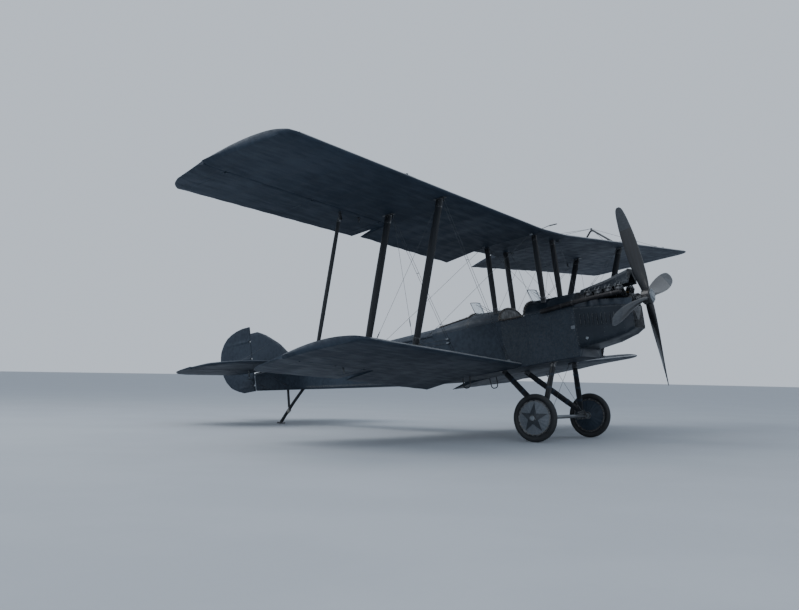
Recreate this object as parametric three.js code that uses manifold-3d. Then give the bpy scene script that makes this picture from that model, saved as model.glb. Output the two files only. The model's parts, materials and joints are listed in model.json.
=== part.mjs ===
// Two-seat biplane with unequal wings, one bay of struts on each side, a four-blade propeller
// and an open V-eight engine. It stands on its wheels and tail skid.
// Millimetres. The airframe is drawn level: x to port, y aft from the nose, z up from the top
// longerons. The last lines turn it tail down and set it on the floor.
import * as THREE from 'three';
import { mergeVertices } from 'three/addons/utils/BufferGeometryUtils.js';
import Module from 'manifold-3d';

const wasm = await Module();
wasm.setup();

const V = (x, y, z) => new THREE.Vector3(x, y, z);
const rad = THREE.MathUtils.degToRad;

// Driving dimensions
const GAP = 0.4;                 // between two pieces that touch
const PARK_ANGLE = rad(9.9);     // nose up, standing on wheels and skid

const CHORD = 1676;
const INCIDENCE = rad(4);
const DIHEDRAL = rad(3.7);
const UPPER_LE = { y: 1226, z: 1172 };
const STAGGER = 640;
const WING_GAP = 1850;
const LOWER_LE = { y: UPPER_LE.y + STAGGER, z: UPPER_LE.z - WING_GAP };
const CENTRE_HALF = 360;         // half width of the centre section
const CUTOUT = 0.70;             // chord fraction where the centre section ends
const UPPER_TIP = 5880;
const LOWER_TIP = 4200;
const THICKNESS = 0.072;         // of the chord
const CAMBER = 0.042;
const SPAR = { front: 0.10, rear: 0.575 };
const STRUT_X = 2800;

const AILERON = {
  hinge: 0.725, trailing: 1.08, upperRoot: 2500, lowerRoot: 2350,
  nose: 24, slot: 9, lug: 34, lugReach: 26, endGap: 8,
};

const BODY = { half: 370, wall: 40, top: 0, bottom: -720, front: 950, rear: 3300 };
const COCKPIT = { frontStart: 1720, frontEnd: 2120, rearStart: 2700, rearEnd: 3230 };
const STERN_Y = 7330;

const WHEEL = { x: 880, y: 1510, z: -1490, radius: 330, tyreWidth: 84, rimRadius: 246 };
const AXLE_RADIUS = 24;

const PROP_RADIUS = 1290;
const BLADES = 4;
const PROP_TURN = rad(18.5);     // first blade leans to starboard of upright
const PROP_RAKE = 65;            // how far back a blade's end lies from the boss
const HUB = V(0, -15, -34);      // middle of the propeller boss

const TAILPLANE = { front: 6180, hinge: 6990, z: 72, thick: 56 };
const ELEVATOR = { trailing: 7640, nose: 20 };
const RUDDER = { hinge: 7385, nose: 18, top: 900, bottom: -250 };

// Materials
const paint = (color, roughness, metalness = 0) =>
  new THREE.MeshStandardMaterial({ color, roughness, metalness });
const fabric = paint(0x4a4a3c, 0.75);
const darkFabric = paint(0x3b3c33, 0.8);
const wood = paint(0x6a4a2c, 0.5);
const metal = paint(0x6d7073, 0.45, 0.8);
const cowlMetal = paint(0x4c5052, 0.4, 0.7);
const steel = paint(0x2c2d2e, 0.4, 0.8);
const rubber = paint(0x1d1d1d, 0.9);
const cover = paint(0xb9b7aa, 0.7);
const leather = paint(0x3a2417, 0.6);
const clear = paint(0xa8b4b8, 0.1);

const group = new THREE.Group();
const airframe = new THREE.Group();
group.add(airframe);

function addPiece(name, geometry, material) {
  const mesh = new THREE.Mesh(geometry, material);
  mesh.name = name;
  airframe.add(mesh);
  return mesh;
}

// Solids
function solidOf(geometry) {
  let g = geometry.clone();
  g.deleteAttribute('normal');
  g.deleteAttribute('uv');
  g = mergeVertices(g, 1e-4);
  return new wasm.Manifold(new wasm.Mesh({
    numProp: 3,
    vertProperties: new Float32Array(g.attributes.position.array),
    triVerts: new Uint32Array(g.index.array),
  }));
}

function geometryOf(solid) {
  const mesh = solid.getMesh();
  const g = new THREE.BufferGeometry();
  const points = new Float32Array(mesh.numVert * 3);
  for (let i = 0; i < mesh.numVert; i++) {
    for (let k = 0; k < 3; k++) points[3 * i + k] = mesh.vertProperties[i * mesh.numProp + k];
  }
  g.setAttribute('position', new THREE.BufferAttribute(points, 3));
  g.setIndex(new THREE.BufferAttribute(new Uint32Array(mesh.triVerts), 1));
  const flat = g.toNonIndexed();
  flat.computeVertexNormals();
  return flat;
}

function join(...geometries) {
  let solid = solidOf(geometries[0]);
  for (const g of geometries.slice(1)) solid = solid.add(solidOf(g));
  return geometryOf(solid);
}

// Cuts the tools out of a piece; each tool may be moved first, so that a gap is left.
function cut(geometry, tools, shift = V(0, 0, 0)) {
  let solid = solidOf(geometry);
  for (const tool of tools) {
    const moved = tool.clone().translate(shift.x, shift.y, shift.z);
    solid = solid.subtract(solidOf(moved));
  }
  return geometryOf(solid);
}

// A surface through rings of the same number of points, closed by flat caps.
function loft(rings, capStart, capEnd) {
  const n = rings[0].length;
  const points = [];
  for (const ring of rings) for (const p of ring) points.push(p.x, p.y, p.z);
  const faces = [];
  for (let j = 0; j + 1 < rings.length; j++) {
    for (let i = 0; i < n; i++) {
      const a = j * n + i;
      const b = j * n + (i + 1) % n;
      faces.push(a, b, b + n, a, b + n, a + n);
    }
  }
  const caps = [[capStart, 0, -1], [capEnd ?? capStart, (rings.length - 1) * n, 1]];
  for (const [outline, first, way] of caps) {
    const flat = outline.map(([u, v]) => new THREE.Vector2(u, v));
    const turn = Math.sign(THREE.ShapeUtils.area(flat));
    for (const [a, b, c] of THREE.ShapeUtils.triangulateShape(flat, [])) {
      const own = Math.sign(THREE.ShapeUtils.area([flat[a], flat[b], flat[c]]));
      if (own === turn * way) faces.push(first + a, first + b, first + c);
      else faces.push(first + a, first + c, first + b);
    }
  }
  const at = (i) => V(points[3 * i], points[3 * i + 1], points[3 * i + 2]);
  let volume = 0;
  for (let i = 0; i < faces.length; i += 3) {
    volume += at(faces[i]).dot(at(faces[i + 1]).cross(at(faces[i + 2])));
  }
  if (volume < 0) {
    for (let i = 0; i < faces.length; i += 3) {
      const spare = faces[i + 1];
      faces[i + 1] = faces[i + 2];
      faces[i + 2] = spare;
    }
  }
  const g = new THREE.BufferGeometry();
  g.setAttribute('position', new THREE.Float32BufferAttribute(points, 3));
  g.setIndex(faces);
  const open = g.toNonIndexed();
  open.computeVertexNormals();
  return open;
}

// A straight bar of any closed section from a to b; the section's v axis is turned towards side.
function bar(a, b, section, side = V(0, 1, 0)) {
  const along = b.clone().sub(a).normalize();
  const across = side.clone().cross(along).normalize();
  const up = along.clone().cross(across).normalize();
  const ring = (p) => section.map(([u, v]) =>
    p.clone().addScaledVector(across, u).addScaledVector(up, v));
  return loft([ring(a), ring(b)], section);
}

const round = (radius, sides = 8) => Array.from({ length: sides }, (_, i) => {
  const t = (i + 0.5) * 2 * Math.PI / sides;
  return [radius * Math.cos(t), radius * Math.sin(t)];
});

// Streamlined strut section: thickness across, chord along the flight direction.
const streamline = (thick, chord, sides = 14) => Array.from({ length: sides }, (_, i) => {
  const t = i * 2 * Math.PI / sides;
  return [thick / 2 * Math.sin(t), chord / 2 * Math.cos(t) + 0.08 * chord * Math.sin(t) ** 2];
});

const rod = (a, b, radius, sides = 8) => bar(a, b, round(radius, sides),
  Math.abs(b.clone().sub(a).normalize().y) > 0.9 ? V(1, 0, 0) : V(0, 1, 0));

function block(x0, x1, y0, y1, z0, z1) {
  const g = new THREE.BoxGeometry(x1 - x0, y1 - y0, z1 - z0);
  g.translate((x0 + x1) / 2, (y0 + y1) / 2, (z0 + z1) / 2);
  return g;
}

const mirrored = (p, side) => V(side * p.x, p.y, p.z);

// Wing surfaces. A point is given by its chord fraction, its height over the chord line and x.
// Outside the root the section stands square to the sloping wing, and so to the aileron's hinge.
const ROOT_END = BODY.half + 100;
function wingPoint(le, fraction, height, x) {
  const rise = Math.max(Math.abs(x) - CENTRE_HALF, 0) * Math.tan(DIHEDRAL);
  const lean = Math.abs(x) > ROOT_END ? Math.sign(x) * DIHEDRAL : 0;
  const back = CHORD * fraction;
  const up = height * Math.cos(INCIDENCE) - back * Math.sin(INCIDENCE);
  return V(x - up * Math.sin(lean),
    le.y + back * Math.cos(INCIDENCE) + height * Math.sin(INCIDENCE),
    le.z + rise + up * Math.cos(lean));
}

const camberAt = (t) => 4 * CAMBER * t * (1 - t);
const halfThickness = (t) => 5 * THICKNESS * (0.2969 * Math.sqrt(t) - 0.126 * t - 0.3516 * t * t
  + 0.2843 * t ** 3 - 0.0986 * t ** 4);

const UPPER_STEPS = [0.004, 0.015, 0.035, 0.07, 0.13, 0.22, 0.34, 0.48, 0.62, 0.76, 0.88, 1];
const LOWER_STEPS = [0.90, 0.74, 0.55, 0.36, 0.20, 0.10, 0.04, 0.012];

// The aerofoil between two chord fractions, thinner where it is shorter; its middle line is
// the full section's at every chord, so that the tip meets the aileron.
function aerofoil(front, back, stop) {
  const local = back - front;
  const limit = Math.min(1, (stop - front) / local);
  const height = (t, way) => CHORD
    * (camberAt(front + local * t) + way * local * halfThickness(t));
  const outline = [[front, CHORD * camberAt(front)]];
  for (const u of UPPER_STEPS) outline.push([front + local * u * limit, height(u * limit, 1)]);
  outline.push([front + local * limit, height(limit, -1)]);
  for (const u of LOWER_STEPS) outline.push([front + local * u * limit, height(u * limit, -1)]);
  return outline;
}

// Wing tip outline: distance in from the tip, chord fraction of the leading and trailing edge.
const TIP = [
  { inset: 700, front: 0, back: 1 },
  { inset: 360, front: 0, back: 1 },
  { inset: 220, front: 0.003, back: 1 },
  { inset: 110, front: 0.015, back: 1 },
  { inset: 66, front: 0.06, back: 0.97 },
  { inset: 56, front: 0.17, back: 0.94 },
  { inset: 42, front: 0.40, back: 0.90 },
  { inset: 22, front: 0.60, back: 0.86 },
  { inset: 0, front: 0.68, back: 0.82 },
];
// Aileron outline at the tip: distance in from the tip, chord fraction of the trailing edge.
const AILERON_TIP = [
  { inset: 304, back: 1.128 },
  { inset: 206, back: 1.093 },
  { inset: 160, back: 1.058 },
  { inset: 114, back: 1.007 },
  { inset: 80, back: 0.898 },
  { inset: 38, back: 0.777 },
];

function wingPanel(le, side, root, tip, aileronRoot) {
  const ring = (x, front, back, stop) => ({
    flat: aerofoil(front, back, stop),
    points: aerofoil(front, back, stop).map(([f, h]) => wingPoint(le, f, h, side * x)),
  });
  const inner = [ring(root, 0, 1, 1), ring(aileronRoot, 0, 1, 1)];
  const outerStop = AILERON.hinge - (AILERON.nose + AILERON.slot) / CHORD;
  const outer = [ring(aileronRoot - 1, 0, 1, outerStop)];
  for (const { inset, front, back } of TIP) outer.push(ring(tip - inset, front, back, outerStop));
  const shape = (rings) => loft(rings.map((r) => r.points), rings[0].flat, rings.at(-1).flat);
  return join(shape(inner), shape(outer));
}

// Hinged surface: a round nose on the hinge line and straight sides to a thin trailing edge.
function aileronRing(le, side, x, back) {
  const hinge = AILERON.hinge * CHORD;
  const centre = CHORD * camberAt(AILERON.hinge);
  const noseTurns = [100, 130, 160, 180, 200, 230, 260].map(rad);
  const outline = noseTurns.map((t) =>
    [(hinge + AILERON.nose * Math.cos(t)) / CHORD, centre + AILERON.nose * Math.sin(t)]);
  outline.push([back, -5]);
  outline.push([back, 5]);
  return { flat: outline, points: outline.map(([f, h]) => wingPoint(le, f, h, side * x)) };
}

function lugStations(root, tip) {
  const end = tip - 330;
  return [root + 160, (root + end) / 2, end - 60];
}

// A block between two x stations, in the wing's own directions.
function wingBlock(le, side, x0, x1, f0, f1, h0, h1) {
  const flat = [[f0, h0], [f1, h0], [f1, h1], [f0, h1]];
  const ring = (x) => flat.map(([f, h]) => wingPoint(le, f, h, side * x));
  return loft([ring(x0), ring(x1)], flat);
}

function aileronSlots(le, side, root, tip, width) {
  const deep = AILERON.hinge + AILERON.lugReach / CHORD;
  return lugStations(root, tip).map((x) =>
    wingBlock(le, side, x - width / 2, x + width / 2, 0.68, deep, -60, 160));
}

function aileronShape(le, side, root, tip) {
  const rings = [aileronRing(le, side, root + AILERON.endGap, AILERON.trailing)];
  for (const { inset, back } of AILERON_TIP) rings.push(aileronRing(le, side, tip - inset, back));
  const body = loft(rings.map((r) => r.points), rings[0].flat, rings.at(-1).flat);
  return cut(body, aileronSlots(le, side, root, tip, AILERON.lug + 2 * GAP));
}

// Brackets on the wing's rear face that carry the aileron in its slots.
function aileronLugs(le, side, root, tip) {
  const hinge = AILERON.hinge;
  const centre = CHORD * camberAt(hinge);
  const front = hinge - (AILERON.nose + AILERON.slot + 30) / CHORD;
  const reach = 14 / CHORD;
  return lugStations(root, tip).map((x) =>
    wingBlock(le, side, x - AILERON.lug / 2, x + AILERON.lug / 2,
      front, hinge + reach, centre - 11, centre + 11));
}

const SIDES = [{ name: 'left', side: 1 }, { name: 'right', side: -1 }];
const PLANES = [
  { name: 'upper', le: UPPER_LE, root: CENTRE_HALF + GAP, tip: UPPER_TIP, aileron: AILERON.upperRoot },
  { name: 'lower', le: LOWER_LE, root: BODY.half + GAP, tip: LOWER_TIP, aileron: AILERON.lowerRoot },
];

const wings = {};
const ailerons = {};
for (const { name, side } of SIDES) {
  for (const plane of PLANES) {
    const key = `${plane.name}_${name}`;
    const panel = wingPanel(plane.le, side, plane.root, plane.tip, plane.aileron);
    wings[key] = join(panel, ...aileronLugs(plane.le, side, plane.aileron, plane.tip));
    ailerons[key] = aileronShape(plane.le, side, plane.aileron, plane.tip);
  }
}

// Aileron link: a small plate under the upper aileron and over the lower one.
const LINK = {
  x: 3430, back: 62, plate: 10, upperDrop: 80, lowerRise: 54, footGap: 17, thick: 26, chord: 66,
};
const hingePoint = (le, side, back, height) =>
  wingPoint(le, AILERON.hinge + back / CHORD, CHORD * camberAt(AILERON.hinge) + height,
    side * LINK.x);
function linkPlate(le, side, h0, h1) {
  const centre = CHORD * camberAt(AILERON.hinge);
  const f = AILERON.hinge + LINK.back / CHORD;
  const half = 20 / CHORD;
  return wingBlock(le, side, LINK.x - LINK.plate / 2, LINK.x + LINK.plate / 2,
    f - half, f + half, centre + h0, centre + h1);
}
for (const { name, side } of SIDES) {
  ailerons[`upper_${name}`] = join(ailerons[`upper_${name}`],
    linkPlate(UPPER_LE, side, -LINK.upperDrop, -10));
  ailerons[`lower_${name}`] = join(ailerons[`lower_${name}`],
    linkPlate(LOWER_LE, side, 10, LINK.lowerRise));
}

// Centre section with its cut-out behind the rear spar.
const centreRing = (x) => aerofoil(0, 1, CUTOUT).map(([f, h]) => wingPoint(UPPER_LE, f, h, x));
const centreSection = loft([centreRing(-CENTRE_HALF), centreRing(CENTRE_HALF)],
  aerofoil(0, 1, CUTOUT));

// Fuselage sections: station aft, half width, bottom, top longeron and crown of the decking.
function bodyRing(y, half, bottom, top, crown, arcs = 6) {
  const outline = [[-half, bottom], [half, bottom], [half, top]];
  for (let i = 1; i < arcs; i++) {
    const t = Math.PI * i / arcs;
    outline.push([half * Math.cos(t), top + crown * Math.sin(t)]);
  }
  outline.push([-half, top]);
  return { flat: outline, points: outline.map(([x, z]) => V(x, y, z)) };
}
const bodyLoft = (table, arcs) => {
  const rings = table.map((r) => bodyRing(r.y, r.half, r.bottom, r.top, r.crown, arcs));
  return loft(rings.map((r) => r.points), rings[0].flat, rings.at(-1).flat);
};

const rearFuselage = bodyLoft([
  { y: BODY.rear + GAP, half: 370, bottom: -720, top: 0, crown: 142 },
  { y: 4200, half: 325, bottom: -640, top: 5, crown: 112 },
  { y: 5200, half: 232, bottom: -520, top: 12, crown: 66 },
  { y: 6150, half: 132, bottom: -400, top: 20, crown: 22 },
  { y: 6200, half: 127, bottom: -393, top: 21, crown: 21 },
  { y: STERN_Y, half: 22, bottom: -252, top: 30, crown: 12 },
]);

const deck = (y0, y1, crown0, crown1) => bodyLoft([
  { y: y0, half: BODY.half, bottom: GAP, top: 14, crown: crown0 },
  { y: y1, half: BODY.half, bottom: GAP, top: 14, crown: crown1 },
], 10);
const frontDeck = deck(BODY.front, COCKPIT.frontStart, 205, 215);
const midDeck = deck(COCKPIT.frontEnd, COCKPIT.rearStart, 190, 215);
const headDeck = deck(COCKPIT.rearEnd, BODY.rear + 20, 135, 135);

// Raised edge along the rear cockpit, part of the decking's own arch
const RIM = { thick: 12, upTo: rad(46), steps: 6 };
function rimRing(side, y, crown) {
  const arc = (inset) => Array.from({ length: RIM.steps + 1 }, (_, i) => {
    const t = RIM.upTo * i / RIM.steps;
    return [side * (BODY.half - inset) * Math.cos(t), 14 + (crown - inset) * Math.sin(t)];
  });
  const flat = [[side * BODY.half, -6], ...arc(0), ...arc(RIM.thick).reverse(),
    [side * (BODY.half - RIM.thick), -6]];
  return { flat, points: flat.map(([x, z]) => V(x, y, z)) };
}
function sideWall(side) {
  const inner = BODY.half - BODY.wall;
  const x0 = side > 0 ? inner : -BODY.half;
  const wall = block(x0, x0 + BODY.wall, BODY.front, BODY.rear, BODY.bottom, BODY.top);
  const rings = [rimRing(side, COCKPIT.rearStart + GAP, 215), rimRing(side, COCKPIT.rearEnd - GAP, 135)];
  return join(wall, loft(rings.map((r) => r.points), rings[0].flat, rings.at(-1).flat));
}
const inside = BODY.half - BODY.wall - GAP;
const floorThick = 30;
const cockpitFloor = block(-inside, inside, BODY.front + 30, BODY.rear - 30,
  BODY.bottom, BODY.bottom + floorThick);
const firewall = block(-inside, inside, BODY.front, BODY.front + 30 - GAP, BODY.bottom, BODY.top);

// Nose cowl: an open trough in front of the firewall, below the propeller shaft.
const cowlRing = (y, half, bottom, top, inset) => {
  const h = half - inset;
  const b = bottom + inset;
  const t = top + (inset ? 40 : 0);
  const bevel = half * 0.42;
  const flat = [[-h, t], [-h, b + bevel], [-h + bevel, b], [h - bevel, b], [h, b + bevel], [h, t]];
  return { flat, points: flat.map(([x, z]) => V(x, y, z)) };
};
const COWL = [
  { y: 165, half: 185, bottom: -445, top: -125 },
  { y: 280, half: 235, bottom: -500, top: -105 },
  { y: 560, half: 310, bottom: -562, top: -70 },
  { y: BODY.front - GAP, half: 370, bottom: -605, top: -30 },
];
const COWL_SKIN = 14;
const cowlLoft = (inset) => {
  const rings = COWL.map((r, i) => cowlRing(
    r.y + (inset && i === 0 ? COWL_SKIN : 0) + (inset && i === COWL.length - 1 ? 20 : 0),
    r.half, r.bottom, r.top, inset));
  return loft(rings.map((r) => r.points), rings[0].flat, rings.at(-1).flat);
};
const noseCowl = cut(cowlLoft(0), [cowlLoft(COWL_SKIN)]);

// Engine: crankcase block, eight finned cylinders in a V, shaft housing in front.
const CYLINDERS = { rows: [300, 455, 610, 765], radius: 62, lean: rad(45), foot: 90, head: 330 };
function cylinder(y, side) {
  const axis = V(side * Math.sin(CYLINDERS.lean), 0, Math.cos(CYLINDERS.lean));
  const base = V(0, y, -70);
  return rod(base.clone().addScaledVector(axis, CYLINDERS.foot),
    base.clone().addScaledVector(axis, CYLINDERS.head), CYLINDERS.radius, 12);
}
const crankcase = bodyLoft([
  { y: 200, half: 120, bottom: -300, top: -40, crown: 100 },
  { y: 300, half: 165, bottom: -420, top: -60, crown: 90 },
  { y: 880, half: 165, bottom: -420, top: -60, crown: 90 },
]);
const engineParts = [crankcase];
for (const y of CYLINDERS.rows) {
  for (const side of [1, -1]) engineParts.push(cylinder(y, side));
}
engineParts.push(block(-60, 60, 870, BODY.front - GAP, -380, -120));
const engine = join(...engineParts);

// Air scoop between the cylinder banks, open to the front.
const scoopRing = (y, half, low, high, inset) => {
  const h = half - inset;
  const top = high - inset;
  const b = low - (inset ? 30 : 0);
  const flat = [[-h, b], [h, b], [h, top - 60], [h - 55, top], [-h + 55, top], [-h, top - 60]];
  return { flat, points: flat.map(([x, z]) => V(x, y, z)) };
};
const scoopLoft = (inset) => {
  const grow = inset ? 10 : 0;
  const table = [
    { y: 170 - grow, half: 150, low: 190, high: 385 },
    { y: 520, half: 150, low: 175, high: 300 },
    { y: 900, half: 160, low: 160, high: 235 },
  ];
  const rings = table.map((r) => scoopRing(r.y, r.half, r.low, r.high, inset));
  return loft(rings.map((r) => r.points), rings[0].flat, rings.at(-1).flat);
};
const airScoop = cut(scoopLoft(0), [scoopLoft(10), engine], V(0, 0, GAP));

// Exhaust pipe outside each cylinder bank, led aft along the side of the fuselage.
const EXHAUST = { radius: 34, port: 22, sides: 10 };
function exhaust(side) {
  const path = [V(side * 330, 240, 60), V(side * 352, 500, 55), V(side * 384, 760, 45),
    V(side * 416, 920, 30), V(side * 420, 1420, 0)];
  const parts = [];
  for (let i = 0; i + 1 < path.length; i++) {
    const a = path[i];
    const b = path[i + 1];
    const over = b.clone().sub(a).normalize().multiplyScalar(i + 2 < path.length ? 8 : 0);
    parts.push(rod(a, b.clone().add(over), EXHAUST.radius, EXHAUST.sides));
  }
  for (const y of CYLINDERS.rows) {
    const next = path.findIndex((p) => p.y > y);
    const share = (y - path[next - 1].y) / (path[next].y - path[next - 1].y);
    const onPipe = path[next - 1].clone().lerp(path[next], share);
    parts.push(rod(V(side * 210, y, 92), onPipe, EXHAUST.port, EXHAUST.sides));
  }
  return cut(join(...parts), [engine], V(side * GAP, 0, -GAP));
}

// Seats, windscreens and instrument board
function seat(y) {
  const w = 210;
  const floorTop = BODY.bottom + floorThick + GAP;
  return join(
    block(-w, w, y - 190, y + 190, floorTop + 260, floorTop + 300),
    block(-w, w, y + 160, y + 190, floorTop + 290, floorTop + 640),
    block(-120, 120, y - 120, y + 120, floorTop, floorTop + 265));
}

function windscreen(y, deckPiece) {
  const flat = [];
  const outer = 225;
  const thick = 6;
  const steps = 8;
  for (let i = 0; i <= steps; i++) {
    const t = rad(50 + 80 * i / steps);
    flat.push([outer * Math.cos(t), -outer * 1.1 * Math.sin(t)]);
  }
  for (let i = steps; i >= 0; i--) {
    const t = rad(50 + 80 * i / steps);
    flat.push([(outer - thick) * Math.cos(t), -(outer - thick) * 1.1 * Math.sin(t)]);
  }
  const low = 150;
  const high = 400;
  const lean = 90;
  const ring = (z, back) => flat.map(([x, v]) => V(x, y + outer * 1.1 + v + back, z));
  const glass = loft([ring(low, 0), ring(high, lean)], flat);
  return cut(glass, [deckPiece, deckPiece], V(0, 0, GAP));
}

const board = block(-inside, inside, COCKPIT.rearStart - 60, COCKPIT.rearStart - 40, -300, 20);

// Struts
function strutBetween(a, b, thick, chord, tools) {
  let shape = bar(a, b, streamline(thick, chord));
  for (const { piece, gap } of tools) shape = cut(shape, [piece], V(0, 0, gap));
  return shape;
}
const INTERPLANE = { thick: 40, chord: 115 };
const CABANE = { x: 285, aft: 30, thick: 34, chord: 92 };
const SPARS = [{ name: 'front', at: SPAR.front }, { name: 'rear', at: SPAR.rear }];

function interplaneStrut(side, at, name) {
  const top = wingPoint(UPPER_LE, at, CHORD * camberAt(at), side * STRUT_X);
  const foot = wingPoint(LOWER_LE, at, CHORD * camberAt(at), side * STRUT_X);
  return strutBetween(foot, top, INTERPLANE.thick, INTERPLANE.chord, [
    { piece: wings[`upper_${name}`], gap: -GAP },
    { piece: wings[`lower_${name}`], gap: GAP }]);
}

function cabaneStrut(side, at) {
  const along = at + CABANE.aft / CHORD;
  const top = wingPoint(UPPER_LE, along, CHORD * camberAt(along), side * CABANE.x);
  const foot = V(top.x, top.y, 50);
  return strutBetween(foot, top, CABANE.thick, CABANE.chord, [
    { piece: centreSection, gap: -GAP },
    { piece: frontDeck, gap: GAP },
    { piece: midDeck, gap: GAP }]);
}

// King posts: an inverted V of tube over each pair of interplane struts.
const KING = { rise: 385, aft: 45, radius: 16 };
function kingFeet(side) {
  return SPARS.map(({ at }) =>
    wingPoint(UPPER_LE, at, CHORD * camberAt(at), side * STRUT_X));
}
function kingApex(side) {
  const [front, rear] = kingFeet(side);
  return front.clone().add(rear).multiplyScalar(0.5).add(V(0, KING.aft, KING.rise));
}
function kingPost(side, name) {
  const apex = kingApex(side);
  const legs = kingFeet(side).map((foot) => rod(foot, apex, KING.radius, 8));
  const cap = rod(apex.clone().add(V(0, 0, -22)), apex.clone().add(V(0, 0, 12)), 20, 8);
  return cut(join(...legs, cap), [wings[`upper_${name}`]], V(0, 0, GAP));
}

// Stays. Each set meets at a crossing or at a plate, so that it is one piece.
const WIRE = 4;
function star(centre, ends, extra = []) {
  return join(...ends.map((end) => rod(centre, end, WIRE, 6)), ...extra,
    new THREE.OctahedronGeometry(WIRE * 2).translate(centre.x, centre.y, centre.z));
}
function bayStays(side, at, name) {
  const h = CHORD * camberAt(at);
  const far = side * (STRUT_X - 60);
  const topOut = wingPoint(UPPER_LE, at, h, far);
  const lowOut = wingPoint(LOWER_LE, at, h, far);
  const near = CENTRE_HALF + 70;
  const topIn = wingPoint(UPPER_LE, at, h, side * near);
  const lowIn = wingPoint(LOWER_LE, at, h, side * (BODY.half + 60));
  const centre = crossing(lowIn, topOut, topIn, lowOut);
  let shape = star(centre, [lowIn, topOut, topIn, lowOut]);
  shape = cut(shape, [wings[`upper_${name}`]], V(0, 0, -GAP));
  return cut(shape, [wings[`lower_${name}`]], V(0, 0, GAP));
}
function crossing(a, b, c, d) {
  const u = b.clone().sub(a);
  const v = d.clone().sub(c);
  const w = a.clone().sub(c);
  const uu = u.dot(u);
  const uv = u.dot(v);
  const vv = v.dot(v);
  const bottom = uu * vv - uv * uv;
  const s = (uv * v.dot(w) - vv * u.dot(w)) / bottom;
  return a.clone().addScaledVector(u, s);
}
function kingStays(side, name) {
  const apex = kingApex(side).add(V(0, 0, 12 + GAP + 5));
  const ends = [];
  for (const { at } of SPARS) {
    ends.push(wingPoint(UPPER_LE, at, CHORD * camberAt(at), side * (UPPER_TIP - 950)));
    ends.push(wingPoint(UPPER_LE, at, CHORD * camberAt(at), side * (CENTRE_HALF + 60)));
  }
  const plate = rod(apex.clone().add(V(0, 0, -5)), apex.clone().add(V(0, 0, 6)), 18, 8);
  const shape = star(apex, ends, [plate]);
  const solid = cut(shape, [wings[`upper_${name}`]], V(0, 0, GAP));
  return cut(solid, [kingPost(side, name)], V(0, 0, GAP));
}

// Link between the two ailerons of a side
function aileronLink(side) {
  const top = hingePoint(UPPER_LE, side, LINK.back, -LINK.upperDrop + 22);
  const foot = hingePoint(LOWER_LE, side, LINK.back, LINK.lowerRise + LINK.footGap);
  const up = top.clone().sub(foot).normalize();
  const eye = rod(foot, foot.clone().addScaledVector(up, 60), 9, 8);
  const shaft = bar(foot.clone().addScaledVector(up, 30), top.clone().addScaledVector(up, -26),
    streamline(LINK.thick, LINK.chord));
  const fork = bar(top.clone().addScaledVector(up, -60), top.clone().addScaledVector(up, 14),
    [[-17, -16], [17, -16], [17, 16], [-17, 16]]);
  const gap = LINK.plate / 2 + GAP;
  const f = AILERON.hinge + LINK.back / CHORD;
  const reach = 60 / CHORD;
  const centre = CHORD * camberAt(AILERON.hinge);
  const slot = wingBlock(UPPER_LE, side, LINK.x - gap, LINK.x + gap, f - reach, f + reach,
    centre - LINK.upperDrop - 12, centre + 60);
  return cut(join(shaft, fork, eye), [slot]);
}

// Undercarriage
const GEAR = {
  frontTop: V(330, 1380, BODY.bottom - GAP), rearTop: V(335, 2200, BODY.bottom - GAP),
  footX: 600, thick: 36, chord: 88,
};
const axleLine = rod(V(-WHEEL.x - 95, WHEEL.y, WHEEL.z), V(WHEEL.x + 95, WHEEL.y, WHEEL.z),
  AXLE_RADIUS, 16);
function gearVee(side) {
  const foot = V(side * GEAR.footX, WHEEL.y, WHEEL.z + 55);
  const section = streamline(GEAR.thick, GEAR.chord);
  const legs = [GEAR.frontTop, GEAR.rearTop].map((top) => {
    const start = mirrored(top, side);
    const way = foot.clone().sub(start).normalize();
    return bar(start.clone().addScaledVector(way, -60), foot, section, V(1, 0, 0).cross(way).negate());
  });
  const shoe = block(foot.x - 22, foot.x + 22, WHEEL.y - 75, WHEEL.y + 75, WHEEL.z - 50, WHEEL.z + 95);
  const above = block(-600, 600, 500, 3000, BODY.bottom - GAP, 0);
  const bore = rod(V(foot.x - 60, WHEEL.y, WHEEL.z), V(foot.x + 60, WHEEL.y, WHEEL.z),
    AXLE_RADIUS + 0.8, 16);
  const lowerWing = wings[`lower_${side > 0 ? 'left' : 'right'}`];
  return cut(cut(join(...legs, shoe), [above, bore]), [lowerWing], V(0, 0, -GAP));
}
// Cross stays and the spreader tube between the two V's, in the plane of the front legs.
function gearStays() {
  const y = WHEEL.y - 60;
  const reach = GEAR.footX - 22 - GAP;
  const feet = [1, -1].map((side) => V(side * reach, y, WHEEL.z - 20));
  const tops = [1, -1].map((side) => V(side * 300, GEAR.frontTop.y + 60, BODY.bottom + 30));
  const centre = crossing(feet[0], tops[1], feet[1], tops[0]);
  const clip = block(-reach - 40, reach + 40, 0, 3000, BODY.bottom - GAP, 0);
  const ends = SIDES.map(({ side }) => block(side > 0 ? reach : -reach - 40,
    side > 0 ? reach + 40 : -reach, y - 100, y + 100, WHEEL.z - 120, WHEEL.z + 80));
  return cut(star(centre, [...feet, ...tops], [rod(feet[0], feet[1], 14, 8)]), [clip, ...ends]);
}

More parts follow.
